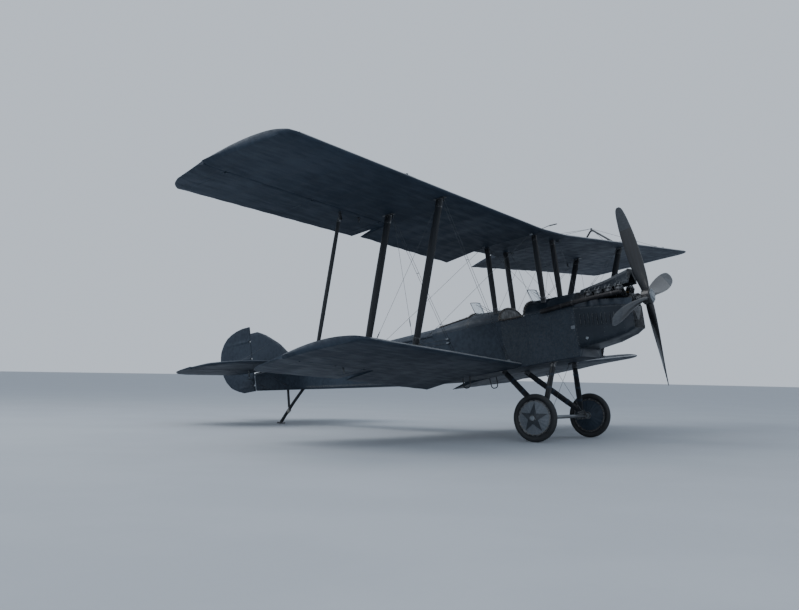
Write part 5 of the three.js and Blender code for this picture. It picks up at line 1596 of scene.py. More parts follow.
def interplane():
    """Interplane struts with their sockets, flying and landing wires, and cross wires between."""
    for name, side in SIDES:
        ends = []
        for where, at in SPARS:
            foot = wing_point(LOWER_LE, at, skin_height(at, 1) - 0.004, side * STRUT_X)
            top = wing_point(UPPER_LE, at, skin_height(at, -1) + 0.004, side * STRUT_X)
            wood, metal = strut(foot, top, INTERPLANE)
            piece(f"{where}_{name}_strut_wood", [wood], STRUT_WOOD, nodes=(f"{where}_strut_{name}",))
            for plane_z, base in ((1, foot), (-1, top)):
                metal.append(slab(rounded(0.085, 0.17, 0.02), -0.002, 0.003, 0.001,
                                  ((1, 0, 0), (0, 1, 0), (0, 0, plane_z)),
                                  base + (0, 0, plane_z * 0.006)))
            piece(f"{where}_{name}_strut_sockets", metal, CAST_STEEL)
            out_x = side * (STRUT_X - 0.060)
            lift = wing_point(UPPER_LE, at, skin_height(at, -1), out_x)
            land = wing_point(LOWER_LE, at, skin_height(at, 1), out_x)
            inner_low = wing_point(LOWER_LE, at, skin_height(at, 1), side * (BODY_HALF + 0.06))
            inner_top = wing_point(UPPER_LE, at, skin_height(at, -1), side * (CENTRE_HALF + 0.07))
            wires = doubled(inner_low, lift) + stay(inner_top, land, at=-0.28)
            plates = [eye_plate(p) for p in (lift - (0, 0, 0.012), land + (0, 0, 0.012),
                                             inner_low + (0, 0, 0.012), inner_top - (0, 0, 0.012))]
            piece(f"{where}_{name}_bay_wires", wires, WIRE_STEEL, nodes=(f"{where}_stays_{name}",))
            piece(f"{where}_{name}_wire_plates", plates, BRIGHT_METAL)
            ends.append((foot, top))
        (f_foot, f_top), (r_foot, r_top) = ends
        cross = []
        inward = np.array([-side * 0.030, 0, 0])
        for a, b in ((f_foot + (0, 0.05, 0.03), r_top - (0, 0.05, 0.03)),
                     (r_foot + (0, -0.05, 0.03), f_top + (0, 0.05, -0.03))):
            cross += stay(a + inward, b + inward, 0.0020)
        piece(f"{name}_incidence_wires", cross, WIRE_STEEL)


def cabane():
    """Centre-section struts with their sockets and cross wires."""
    for name, side in SIDES:
        ends = []
        for where, at in SPARS:
            at += CABANE_AFT
            top = wing_point(UPPER_LE, at, skin_height(at, -1) + 0.004, side * CABANE_X)
            rise = 0.2105 if where == "front" else 0.1942
            z = ARCH_BASE + rise * np.sqrt(1 - (CABANE_X / BODY_HALF) ** 2)
            foot = np.array([top[0], top[1], z - 0.004])
            wood, metal = strut(foot, top, CABANE, sock=0.08)
            piece(f"{where}_{name}_cabane_wood", [wood], STRUT_WOOD, nodes=(f"{where}_cabane_{name}",))
            piece(f"{where}_{name}_cabane_sockets", metal, CAST_STEEL)
            ends.append((foot, top))
        (f_foot, f_top), (r_foot, r_top) = ends
        cross = [wire(f_foot + (0, 0.04, 0.02), r_top - (0, 0.04, 0.02), 0.002),
                 wire(r_foot + (0, -0.04, 0.02), f_top + (0, 0.04, -0.02), 0.002)]
        piece(f"{name}_cabane_wires", cross, WIRE_STEEL)
    at = SPARS[0][1] + CABANE_AFT
    a = [wing_point(UPPER_LE, at, skin_height(at, -1), s * CABANE_X) for _, s in SIDES]
    b = [np.array([s * CABANE_X, a[0][1], 0.155]) for _, s in SIDES]
    cross = [wire(a[0] - (0.03, 0, 0), b[1] + (0.03, 0, 0), 0.002),
             wire(a[1] + (0.03, 0, 0), b[0] - (0.03, 0, 0), 0.002)]
    piece("cabane_front_wires", cross, WIRE_STEEL)


def king_posts():
    """King posts over the outer struts: one tube each, bent over at the top on a quadratic curve, with
    feet, a cap, and wires to the overhang."""
    for name, side in SIDES:
        feet = [wing_point(UPPER_LE, at, CHORD * camber_at(at), side * STRUT_X) for _, at in SPARS]
        apex = (feet[0] + feet[1]) / 2 + (0, KING_AFT, KING_RISE)
        t = np.linspace(0, 1, 13)[:, None]
        ends, wires, fittings = [], [], []
        for (_, at), foot in zip(SPARS, feet):
            way = unit(apex - foot)
            lift = CHORD * half_thickness(at)
            base = foot + way * (lift / way[2])
            ends.append((base, apex - way * 0.060))
            fittings.append(slab(rounded(0.07, 0.11, 0.015), 0.0, 0.005, 0.0015, np.eye(3),
                                 wing_point(UPPER_LE, at, skin_height(at, 1) - 0.001, side * STRUT_X)))
            fittings.append(rod(base - way * 0.002, base + way * 0.055, 0.0195, 14))
            for x in (UPPER_TIP - 0.950, CENTRE_HALF + 0.060):
                end = wing_point(UPPER_LE, at, skin_height(at, 1), side * x)
                wires += stay(apex + (0, 0, 0.015), end, 0.0026, -0.22)
                fittings.append(eye_plate(end + (0, 0, 0.010)))
        (base, low), (other_base, other_low) = ends
        bend = (1 - t) ** 2 * low + 2 * t * (1 - t) * apex + t ** 2 * other_low
        posts = [sweep(np.vstack([base, bend, other_base]), circle(0.0158, 18), (1, 0, 0)),
                 lathe([(0.0, -0.024), (0.014, -0.022), (0.018, -0.004), (0.018, 0.008),
                        (0.012, 0.012)], apex, (0, 0, 1), 20)]
        plate = lathe([(0.018, -0.005), (0.019, -0.002), (0.019, 0.003), (0.016, 0.006)],
                      apex + (0, 0, 0.0175), (0, 0, 1), 20)
        piece(f"{name}_kingpost_tubes", posts, CAST_STEEL, nodes=(f"kingpost_{name}",))
        piece(f"{name}_kingpost_wires", wires + [plate], WIRE_STEEL, nodes=(f"kingpost_stays_{name}",))
        piece(f"{name}_kingpost_feet", fittings, BRIGHT_METAL)


def aileron_links():
    """The streamlined link between the ailerons of a side, with a forked head and a foot eye."""
    for name, side in SIDES:
        at = HINGE + LINK_BACK / CHORD
        top = wing_point(UPPER_LE, at, HINGE_Z - 0.058, side * LINK_X)
        foot = wing_point(LOWER_LE, at, HINGE_Z + 0.071, side * LINK_X)
        up = unit(top - foot)
        share = np.linspace(0, 1, 25)[:, None]
        a, b = foot + up * 0.030, top - up * 0.052
        swell = 1 - 0.28 * (2 * share[:, 0] - 1) ** 4
        wood = sweep(a + (b - a) * share, teardrop(0.026, 0.066), (0, 1, 0), swell)
        body = f"aileron_link_{name}"
        piece(f"{name}_link_wood", [wood], STRUT_WOOD, body, (body,))
        metal = [rod(foot + up * 0.002, foot + up * 0.062, 0.0085, 14),
                 sweep([a - up * 0.004, a + up * 0.055], teardrop(0.026, 0.058))]
        back = wing_axes(UPPER_LE, side * LINK_X)[0]
        over = unit(np.cross(PORT, back))
        over *= np.sign(over[2])
        cheek = rounded(0.030, 0.100, 0.012) + (0, -0.026)
        for way in (-1, 1):
            metal.append(slab(cheek, -0.003, 0.003, 0.001, (back, over, np.cross(back, over)),
                              top + way * 0.0112 * np.cross(back, over)))
        metal.append(sweep([top - up * 0.095, top - up * 0.050], teardrop(0.026, 0.056)))
        piece(f"{name}_link_fittings", metal, CAST_STEEL, body)


def pitot():
    """Pressure tube ahead of the upper leading edge: a thin stem and a thicker head, closed by cones."""
    stem = rod((-0.400, 1.236, 1.1745), (-0.400, 1.110, 1.1915), 0.0048, 12)
    head = lathe([(0.0, 0.0), (0.004, 0.001), (0.0085, 0.012), (0.0088, 0.118), (0.0052, 0.136),
                  (0.0, 0.137)], (-0.400, 1.115, 1.1912), (0, -1, -0.02), 20)
    piece("pitot_tube", [stem, head], CAST_STEEL)


interplane()
cabane()
pitot()
king_posts()
aileron_links()


# Undercarriage
FOOT_X = 0.600
LEG_TOPS = ((0.330, 1.380, -0.7204), (0.335, 2.200, -0.7204))
LEG_SIZE = (0.036, 0.088)


def undercarriage():
    """Two V's of streamlined legs with shoes, the axle bound by rubber cord, spreader and wires."""
    for name, side in SIDES:
        foot = WHEEL * (0, 1, 1) + (side * FOOT_X, 0, 0.055)
        wood, metal, cord = [], [], []
        for top in LEG_TOPS:
            top = np.array(top) * (side, 1, 1)
            way = unit(foot - top)
            top = top + way * 0.002
            share = np.linspace(0, 1, 21)[:, None]
            across = -np.cross((1, 0, 0), way)
            swell = 1 - 0.16 * (2 * share[:, 0] - 1) ** 2
            path = top + (foot - top) * share
            section = teardrop(*LEG_SIZE)
            wood.append(sweep(path, section, across, swell))
            metal.append(sweep(top + way * np.array([[0.0], [0.03], [0.075]]), section * 1.03, across,
                               (0.90, 0.92, 0.90)))
            metal.append(slab(rounded(0.070, 0.130, 0.02), -0.001, 0.006, 0.001,
                              ((1, 0, 0), (0, 1, 0), (0, 0, -1)), top + (0, 0, 0.0005)))
            for k in np.linspace(0.12, 0.88, 7)[1:-1:2]:
                at = top + (foot - top) * k
                cord.append(sweep(at + way * np.array([[-0.018], [-0.016], [0.016], [0.018]]),
                                  section * 0.985, across, (1.0, 1.03, 1.03, 1.0)))
        piece(f"{name}_gear_legs", wood, STRUT_WOOD, nodes=(f"gear_vee_{name}",))
        piece(f"{name}_gear_bindings", cord, TAIL_LINEN)
        outline = np.array([(-0.075, -0.050), (0.075, -0.050), (0.078, 0.0), (0.050, 0.070),
                            (0.020, 0.095), (-0.020, 0.095), (-0.050, 0.070), (-0.078, 0.0)])
        for way in (-1, 1):
            metal.append(slab(outline, -0.003, 0.003, 0.001, SIDE_FACE,
                              foot + (way * 0.0185, 0, -0.055)))
        for u, w in ((-0.05, -0.03), (0.05, -0.03), (0.0, 0.08), (-0.04, 0.055), (0.04, 0.055)):
            metal.append(pin(foot + (0, u, w - 0.055), 0.0235, 0.006))
        piece(f"{name}_gear_shoe", metal, CAST_STEEL)
        wraps = []
        for k in range(9):
            at = foot[0] + (k - 4) * 0.0034
            t = even_turns(28)
            grow = 1 + 0.02 * np.sin(2.3 * k)
            loop = grid_of(at + 0.0012 * np.sin(3 * t + k), WHEEL[1] + 0.043 * grow * np.sin(t),
                           WHEEL[2] + 0.012 + 0.062 * grow * np.cos(t))
            wraps.append(loop_tube(loop, circle(0.0042, 6), PORT, np.cross(round_loop(loop), PORT)))
        piece(f"{name}_shock_cord", wraps, CORD_YARN)
    middle = WHEEL * (0, 1, 1)
    axle = [rod(middle - (AXLE_HALF, 0, 0), middle + (AXLE_HALF, 0, 0), AXLE_RADIUS - GAP, 32, 0.004)]
    for _, side in SIDES:
        for x, reach, half in ((0.792, 0.033, 0.006), (0.9675, 0.034, 0.005)):
            collar = [(0.0236, -half), (reach, 0.001 - half), (reach, half - 0.001), (0.0236, half)]
            axle.append(lathe(collar, middle + (side * x, 0, 0), PORT, 24, wrap=True))
    piece("axle_tube", axle, BRIGHT_METAL, nodes=("axle",))
    y = WHEEL[1] - 0.060
    reach = FOOT_X - 0.0225
    low = WHEEL[2] - 0.020
    ends = [np.array([side * reach, y, low]) for _, side in SIDES]
    tops = [np.array([side * 0.300, 1.440, -0.724]) for _, side in SIDES]
    stays = [rod(ends[0], ends[1], 0.0135, 18)]
    for k in (0, 1):
        stays += [wire(ends[k] + (0, 0, 0.012), tops[1 - k], 0.0026),
                  turnbuckle(ends[k], tops[1 - k], 0.20)]
        stays.append(eye_plate(tops[k] + (0, 0, -0.004)))
    piece("gear_cross_wires", stays, WIRE_STEEL, nodes=("gear_stays",))


TYRE_STEPS = 96
SPOKES = 20


def cover_height(r):
    """How far a wheel cover stands out from the wheel's middle at a radius."""
    return np.interp(r, (0.0249, 0.046, RIM_RADIUS - 0.014, RIM_RADIUS), (0.080, 0.078, 0.026, 0.024))


def star_plate(centre, side, tip=0.210, notch=0.080, lift=0.0008, thick=0.0011):
    """A plain five-pointed star laid on the outer cone: an outline fan, a little proud of the cloth.
    One point is up, as the wheel stands."""
    turns = np.arange(10) * np.pi / 5 - PARK_ANGLE
    radii = np.where(np.arange(10) % 2 == 0, tip, notch)
    steps = 12
    t = np.linspace(0, 1, steps, endpoint=False)
    corner = np.column_stack([radii * np.sin(turns), radii * np.cos(turns)])
    after = np.roll(corner, -1, axis=0)
    rim = (corner[:, None] + (after - corner)[:, None] * t[None, :, None]).reshape(-1, 2)
    shares = np.linspace(1.0, 0.0, 10)
    inner = 0.0495
    length = np.hypot(rim[:, 0], rim[:, 1])[:, None]
    flat = rim / length * (inner + (length - inner) * shares[:, None, None])
    level = cover_height(np.hypot(flat[..., 0], flat[..., 1]))
    top, low = (grid_of(side * (level + height), flat[..., 0], flat[..., 1])
                for height in (lift + thick, lift - 0.0003))
    return ring_of(np.asarray(centre) + np.concatenate([top, low[::-1]], axis=0))


def wheels():
    """Tyres with a worn crown, and laced linen covers drawn in between the spokes, lined on their
    inboard faces with a dark layer of painted shade.
    """
    for name, side in SIDES:
        body = f"wheel_{name}"
        centre = WHEEL * (side, 1, 1)
        mid = (WHEEL_RADIUS + RIM_RADIUS) / 2 + 0.0032
        tall = WHEEL_RADIUS - mid
        t = np.radians(np.linspace(152, -152, 34))
        profile = np.column_stack([mid + tall * np.cos(t), TYRE_HALF * np.sin(t)])
        profile[:, 0] += 0.0008 * (np.sin(np.linspace(0, 1, 34) * 60) > 0.2) * (np.abs(t) > 1.2)
        profile = np.vstack([profile, (RIM_RADIUS + 0.0008, -0.022), (RIM_RADIUS + 0.0008, 0.022)])
        piece(f"{name}_tyre_rubber", [lathe(profile, centre, PORT, TYRE_STEPS, wrap=True)], RUBBER,
              body, (f"tyre_{name}",))
        r = np.concatenate([[0.0251, 0.046], np.linspace(0.055, RIM_RADIUS - 0.014, 26),
                            [RIM_RADIUS - 0.006, RIM_RADIUS - 0.0008]])
        a = even_turns(160)
        draw = 0.0035 * np.sin(SPOKES / 2 * a) ** 2
        fade = smoothstep(0.06, 0.11, r) * (1 - smoothstep(0.20, 0.246, r))
        level = cover_height(r)[:, None] - draw[None] * fade[:, None]
        outer = grid_of(level, r[:, None] * np.sin(a), r[:, None] * np.cos(a))
        inner = outer * (-1, 1, 1)
        skin = np.concatenate([outer, inner[::-1]], axis=0)
        piece(f"{name}_wheel_cover_cloth", [ring_of(centre + skin * (side, 1, 1))], COVER_LINEN, body,
              (f"wheel_cover_{name}",))
        # A dark layer over each cover's inboard face: painted shade for the side that lies in shadow
        shade_lining = np.concatenate([inner[2:] - (0.0012, 0, 0), inner[:1:-1] - (0.0001, 0, 0)], axis=0)
        piece(f"{name}_inner_painted_shade", [ring_of(centre + shade_lining * (side, 1, 1))], TAIL_LINEN, body)
        piece(f"{name}_cover_star", [star_plate(centre, side)], STAR_PAINT, body)
        rims, hooks = [], []
        for way in (1, -1):
            out = side * way
            rims.append(lathe([(RIM_RADIUS - 0.010, 0.0), (RIM_RADIUS - 0.001, 0.0005),
                               (RIM_RADIUS - 0.001, 0.0050), (RIM_RADIUS - 0.008, 0.0065),
                               (RIM_RADIUS - 0.013, 0.0035)],
                              centre + (out * 0.0235, 0, 0), (out, 0, 0), 96, wrap=True))
            rims.append(lathe([(0.0252, -0.002), (0.050, -0.004), (0.050, 0.000), (0.040, 0.0035),
                               (0.0252, 0.0045)], centre + (out * 0.080, 0, 0), (out, 0, 0), 40,
                              wrap=True))
            t = even_turns(60)
            ring = RIM_RADIUS - 0.0175
            hooks.append((centre + grid_of(out * (cover_height(ring) - 0.0004), ring * np.sin(t),
                                           ring * np.cos(t)), (out, 0, 0)))
        valve = centre + (side * 0.030, 0.215 * np.sin(0.6), 0.215 * np.cos(0.6))
        rims.append(rod(valve, valve + (side * 0.016, 0, 0), 0.005, 10))
        piece(f"{name}_wheel_rims", rims, CAST_STEEL, body)
        piece(f"{name}_cover_hooks", [studs(0.0032, 0.0026, hooks)], BRASS, body)


undercarriage()
wheels()


# Tail
TAIL_TABLE = np.array([(0.0, 0.0), (0.60, 0.006), (1.10, 0.030), (1.40, 0.10), (1.60, 0.19),
                       (1.72, 0.30), (1.83, 0.46), (1.90, 0.62)])
TAIL_CHORD = TAIL_HINGE - 0.028 - TAIL_FRONT
ELEVATOR_TABLE = np.array([(0.070, 0.62), (0.16, 0.80), (0.25, 0.94), (0.330, 1.0), (0.60, 1.0),
                           (1.00, 0.995), (1.40, 0.98), (1.60, 0.90), (1.72, 0.78), (1.83, 0.60),
                           (1.90, 0.34)])
RUDDER_TABLE = np.array([(-0.250, 0.260), (-0.190, 0.43), (-0.120, 0.560), (0.0, 0.665), (0.120, 0.730),
                         (0.290, 0.762), (0.450, 0.760), (0.580, 0.72), (0.700, 0.640),
                         (0.780, 0.545), (0.840, 0.420), (0.880, 0.29), (0.900, 0.160)])
FIN_TABLE = np.array([(0.0, 6.330), (0.13, 6.425), (0.260, 6.560), (0.400, 6.69), (0.520, 6.860),
                      (0.620, 7.01), (0.690, 7.16), (0.700, 7.190)])
TAIL_RIBS = 0.27
TAIL_LUGS = (0.330, 1.000, 1.620)
RUDDER_LUGS = (-0.150, 0.330, 0.640)
FIN_BACK = RUDDER_HINGE - 0.026
FIN_BASE = 0.078


def tail_bays(start, end, extra=()):
    """Stations along a tail surface, close together at its ribs."""
    ribs = np.arange(np.floor(start / TAIL_RIBS) - 1, np.ceil(end / TAIL_RIBS) + 1) * TAIL_RIBS
    x = (ribs[:, None] + np.array([0, 0.04, 0.10, 0.25, 0.42, 0.58, 0.75, 0.90, 0.96]) * TAIL_RIBS)
    x = np.concatenate([x.ravel(), [start, end], np.asarray(extra, float)])
    return np.unique(np.round(x[(x >= start - 1e-9) & (x <= end + 1e-9)], 6))


def tail_sag(x):
    """Cloth's pull between tail ribs, from 0 at a rib to 1 half way."""
    return np.sin(np.pi * x / TAIL_RIBS) ** 2


def two_sided(along, half):
    """Both faces of a symmetrical section: its rings run forward on one side and aft on the other."""
    return (np.concatenate([along[:, ::-1], along[:, 1:]], axis=1),
            np.concatenate([half[:, ::-1], -half[:, 1:]], axis=1))


def tailplane():
    """Tailplane: a thin symmetrical section with a curved leading edge, ribs showing."""
    span = tail_bays(0.0, 1.900)
    span = np.concatenate([-span[:0:-1], span])
    reach = np.abs(span)
    front = np.interp(reach, TAIL_TABLE[:, 0], TAIL_TABLE[:, 1])
    t = np.linspace(0, 1, 26) ** 1.7
    y0 = TAIL_FRONT + TAIL_CHORD * front[:, None]
    y = y0 + (TAIL_FRONT + TAIL_CHORD - y0) * t
    depth = 0.028 * (1 - 0.35 * front[:, None])
    rise = depth * np.minimum(1, (t / 0.16)) ** 0.5
    fall = smoothstep(0.25, 1.0, t)
    half = rise * (1 - fall) + 0.020 * fall
    half = half - 0.0022 * tail_sag(reach)[:, None] * np.sin(np.pi * t)
    edge = np.sqrt(np.clip((1.9 - reach) / 0.05, 0.12, 1))[:, None]
    ys, zs = two_sided(y, half * edge)
    rings = grid_of(span[:, None], ys, TAIL_Z + zs)
    piece("tailplane_skin", [tube_of(rings)], TAIL_LINEN, nodes=("tailplane",), sharp=45)
    brackets = []
    for _, side in SIDES:
        for x in TAIL_LUGS:
            brackets.append(bracket((side * x, TAIL_HINGE, TAIL_Z), (0, -1, 0), (1, 0, 0), 0.018))
    piece("tailplane_hinges", brackets, BRIGHT_METAL)


def elevators():
    """Elevators with an arc nose round the hinge, horns and cables' eyes."""
    for name, side in SIDES:
        slots = [(x, 0.0158) for x in TAIL_LUGS]
        span = tail_bays(0.070, 1.900, notch_stations(slots))
        back = np.interp(span, ELEVATOR_TABLE[:, 0], ELEVATOR_TABLE[:, 1]) * 0.650

        def place(s, aft, high):
            """The elevator's points: its span runs out."""
            return grid_of(side * s, TAIL_HINGE + aft, TAIL_Z + high)

        rings = hinged_rings(place, span, back - 0.004 * tail_sag(span), 0.020, slots,
                             0.0020 * tail_sag(span))
        body = f"elevator_{name}"
        piece(f"{name}_elevator_skin", [tube_of(rings)], TAIL_LINEN, body, (body,), sharp=45)
        outline = np.array([(0.018, -0.02), (0.062, -0.02), (0.044, 0.148), (0.032, 0.148)])
        horn = [slab(outline * (1, way), -0.0035, 0.0035, 0.001, SIDE_FACE,
                     (side * 0.500, TAIL_HINGE, TAIL_Z)) for way in (1, -1)]
        piece(f"{name}_elevator_horn", horn, CAST_STEEL, body)


def fin_and_rudder():
    """Fin, stern post, rudder with its brackets, horn and slots."""
    z = tail_bays(0.0, 0.700)
    front = np.interp(z, FIN_TABLE[:, 0], FIN_TABLE[:, 1])
    t = np.linspace(0, 1, 22) ** 1.6
    y = front[:, None] + (FIN_BACK - front[:, None]) * t
    half = 0.017 * np.minimum(1, t / 0.10) ** 0.5 - 0.0018 * tail_sag(z)[:, None] * np.sin(np.pi * t)
    half = half * np.sqrt(np.clip((0.702 - z) / 0.03, 0.10, 1))[:, None]
    ys, xs = two_sided(y, np.maximum(half, 0.0008))
    rings = grid_of(xs, ys, FIN_BASE + z[:, None])
    piece("fin_skin", [tube_of(rings)], TAIL_LINEN, nodes=("fin",), sharp=45)
    brackets = [bracket((0, RUDDER_HINGE, at), (0, -1, 0), (0, 0, 1), 0.016) for at in RUDDER_LUGS]
    brackets.append(slab(rounded(0.028, 0.034, 0.004) + (0, 7.342), -0.235, 0.020, 0.002))
    piece("stern_post_hinges", brackets, BRIGHT_METAL)
    slots = [(at, 0.0155) for at in RUDDER_LUGS]
    z = tail_bays(-0.250, 0.900, notch_stations(slots))
    back = np.interp(z, RUDDER_TABLE[:, 0], RUDDER_TABLE[:, 1])

    def place(s, aft, high):
        """The rudder's points: its span runs up."""
        return grid_of(high, RUDDER_HINGE + aft, s)

    rings = hinged_rings(place, z, back - 0.004 * tail_sag(z), 0.018, slots, 0.0018 * tail_sag(z))
    piece("rudder_skin", [tube_of(rings)], TAIL_LINEN, "rudder", ("rudder",), sharp=45)
    outline = np.array([(0.005, 0.020), (0.050, 0.020), (0.022, 0.150), (0.010, 0.150)])
    horn = [slab(outline * (1, way), -0.003, 0.003, 0.001, ((0, 1, 0), (1, 0, 0), (0, 0, 1)),
                 (0, RUDDER_HINGE, -0.04)) for way in (1, -1)]
    piece("rudder_horn", horn, CAST_STEEL, "rudder")


def tail_wires():
    """Bracing of the tailplane and fin, and the control cables that end short of the horns."""
    wires = []
    for _, side in SIDES:
        for y in (6.45, 6.94):
            low = np.array([side * 0.10, y, -0.345 + (y - 6.45) * 0.10])
            out = np.array([side * 1.02, y, TAIL_Z - 0.024])
            wires += stay(low, out, 0.0022, 0.18)
        high = np.array([side * 0.015, 6.94, FIN_BASE + 0.44])
        out = np.array([side * 1.02, 6.94, TAIL_Z + 0.022])
        wires += stay(high, out, 0.0022, -0.18)
    piece("tail_bracing", wires, WIRE_STEEL)
    cables, guides = [], []
    for _, side in SIDES:
        for z, high in ((-0.10, 0.060), (-0.16, -0.300)):
            start = np.array([side * 0.384, 3.05, z])
            middle = np.array([side * 0.276, 5.0, z * 0.9])
            end = np.array([side * 0.147, 6.10, -0.02 + z * 0.5])
            cables.append(sweep([start, middle, end], circle(0.0020, 6), (side, 0, 0)))
            for at in (start, middle, end):
                guides.append(slab(rounded(0.050, 0.022, 0.008), -0.010, 0.006, 0.001,
                                   ((0, 1, 0), (0, 0, 1), (side, 0, 0)), at))
    piece("control_cables", cables, CABLE_STEEL)
    piece("cable_guides", guides, BRIGHT_METAL)


def ground_level(y):
    """Height of the ground under a place y aft, in airframe coordinates."""
    low = -WHEEL[1] * np.sin(PARK_ANGLE) + WHEEL[2] * np.cos(PARK_ANGLE) - WHEEL_RADIUS
    return (low + y * np.sin(PARK_ANGLE)) / np.cos(PARK_ANGLE)


def tail_skid():
    """Tail skid: an ash lever on a post, bound by rubber cord, with a steel shoe on the ground."""
    y = 6.860
    ground = ground_level(y)
    foot = np.array([0, y, ground + 0.022])
    start = np.array([0, 6.250, -0.352])
    share = np.linspace(0, 1, 17)[:, None]
    box = rounded(1.0, 1.0, 0.22)
    bow = np.array([0, 0, 0.014]) * np.sin(np.pi * share)
    lever = sweep(start + (foot - start) * share + bow, box * (0.040, 0.048), (0, 0.5, 1),
                  np.linspace(0.9, 1.0, 17))
    post_top, post_low = np.array([0, 6.620, -0.300]), np.array([0, 6.640, -0.640])
    post = sweep(post_top + (post_low - post_top) * share, box * (0.032, 0.036))
    piece("skid_lever_wood", [lever, post], STRUT_WOOD, nodes=("tail_skid",))
    along = np.array([0, np.cos(PARK_ANGLE), np.sin(PARK_ANGLE)])
    over = np.array([0, -np.sin(PARK_ANGLE), np.cos(PARK_ANGLE)])
    outline = np.array([(-0.070, 0.012), (-0.055, 0.0), (0.060, 0.0), (0.070, 0.006), (0.066, 0.030),
                        (-0.060, 0.030)])
    metal = [slab(outline, -0.032, 0.032, 0.003, (along, over, PORT), (0, y, ground))]
    metal += [pin(at, 0.028, 0.008) for at in (start + (0, 0.02, 0.006), foot + (foot - start) * -0.16)]
    piece("skid_shoe_steel", metal, CAST_STEEL)
    wraps = []
    hinge = start + (foot - start) * 0.66 + (0, 0, 0.012)
    for k in range(8):
        t = even_turns(24)
        loop = grid_of(0.026 * np.cos(t), hinge[1] - 0.024 + k * 0.0065,
                       hinge[2] - 0.004 * k + 0.032 * np.sin(t))
        wraps.append(loop_tube(loop, circle(0.0045, 6), (0, 1, 0),
                               np.cross(round_loop(loop), (0, 1, 0))))
    piece("skid_shock_cord", wraps, CORD_YARN)


tailplane()
elevators()
fin_and_rudder()
tail_wires()
tail_skid()


# Propeller
BLADE = np.array([(0.060, 0.104, 0.084, 78), (0.130, 0.118, 0.078, 73), (0.230, 0.150, 0.058, 60),
                  (0.350, 0.180, 0.048, 51), (0.480, 0.205, 0.040, 44), (0.620, 0.224, 0.035, 38),
                  (0.760, 0.235, 0.030, 33), (0.900, 0.235, 0.026, 29), (1.010, 0.225, 0.022, 26),
                  (1.100, 0.206, 0.019, 24), (1.170, 0.184, 0.016, 23), (1.225, 0.156, 0.0135, 22.3),
                  (1.258, 0.128, 0.012, 22), (1.278, 0.092, 0.010, 22), (1.290, 0.044, 0.008, 22)])
TIP_FROM = 0.975


def blade_section(r, grow=0.0, sides=40):
    """A blade's section: an ellipse drawn towards its leading edge, turned by the twist and set aft in
    step with the radius."""
    _, chord, thick, twist = (np.interp(r, BLADE[:, 0], BLADE[:, k]) for k in range(4))
    t = even_turns(sides)
    u = (thick / 2 + grow) * np.sin(t)
    v = (chord / 2 + grow) * np.cos(t) + 0.08 * chord * np.sin(t) ** 2
    a = np.radians(twist)
    rake = PROP_RAKE * r / PROP_RADIUS
    return np.column_stack([v * np.cos(a) + u * np.sin(a), rake - v * np.sin(a) + u * np.cos(a)])


def turned(points, angle):
    """Points turned about the shaft, as the frame turns a blade."""
    c, s = np.cos(angle), np.sin(angle)
    x, y, z = points[..., 0], points[..., 1], points[..., 2]
    return np.stack([x * c + z * s, y, -x * s + z * c], axis=-1)


def blade_rings(start, end, count, grow=0.0):
    """Rings of a blade between two radii, closer together near its end."""
    share = np.linspace(0, 1, count)
    r = start + (end - start) * (1 - (1 - share) ** 1.5)
    return np.array([grid_of(*blade_section(k, grow).T, k) for k in r])


def propeller():
    """Four laminated blades on one boss, covered ends, pale edge strips that are partly a painted
    highlight along the leading edges, and the bolted front plate.
    """
    wood, ends, edge_strip_highlight = [], [], []
    for k in range(4):
        angle = -PROP_TURN + k * np.pi / 2
        wood.append(tube_of(turned(blade_rings(0.060, PROP_RADIUS, 64), angle) + HUB))
        tips = blade_rings(TIP_FROM, PROP_RADIUS - 0.0006, 26, 0.0007)
        ends.append(tube_of(turned(tips, angle) + HUB))
        # A pale strip over each blade's leading edge: edge sheathing, and its pale colour is also a
        # painted highlight along the edge
        r = np.linspace(0.70, 1.272, 40)
        sec = np.array([blade_section(v, 0.0011, 80) for v in r])
        pick = np.array([76, 77, 78, 79, 0, 1, 2, 3, 4])
        inner = np.array([blade_section(v, -0.0005, 80) for v in r])[:, pick[::-1]]
        loop = np.concatenate([sec[:, pick], inner], axis=1)
        rings = np.concatenate([loop, np.broadcast_to(r[:, None, None], loop.shape[:2] + (1,))], axis=2)
        edge_strip_highlight.append(tube_of(turned(rings, angle) + HUB))
    boss = lathe([(0.060, -0.0596), (0.100, -0.0596), (0.110, -0.050), (0.110, 0.050), (0.100, 0.0596),
                  (0.060, 0.0596)], HUB, (0, 1, 0), 64)
    shaft = rod(HUB + (0, 0.050, 0), (0, 0.1990, HUB[2]), 0.037, 32)
    hub_back = lathe([(0.040, 0.060), (0.086, 0.0604), (0.088, 0.068), (0.050, 0.074), (0.044, 0.088),
                      (0.040, 0.088)], HUB, (0, 1, 0), 48)
    piece("propeller_blades", wood + [boss], BLADE_WOOD, "propeller", ("propeller",), sharp=45)
    piece("blade_end_covers", ends, TIP_LINEN, "propeller", sharp=45)
    # Pale edge strips: partly a painted highlight along the leading edges
    piece("blade_edge_strips_and_highlight", edge_strip_highlight, TIP_LINEN, "propeller")
    piece("shaft_flange", [shaft, hub_back], CAST_STEEL, "propeller")
    plate = lathe([(0.0, -0.0602), (0.090, -0.0602), (0.092, -0.064), (0.092, -0.070), (0.087, -0.0735),
                   (0.056, -0.0740), (0.050, -0.080), (0.034, -0.0835), (0.0, -0.0838)],
                  HUB, (0, 1, 0), 64)
    t = even_turns(8)
    spots = HUB + grid_of(0.072 * np.cos(t), -0.0730, 0.072 * np.sin(t))
    nuts = studs(0.0095, 0.0095, [(spots, (0, -1, 0))])
    piece("boss_plate_nuts", [plate, nuts], BRIGHT_METAL, "propeller", ("propeller_plate",))


propeller()


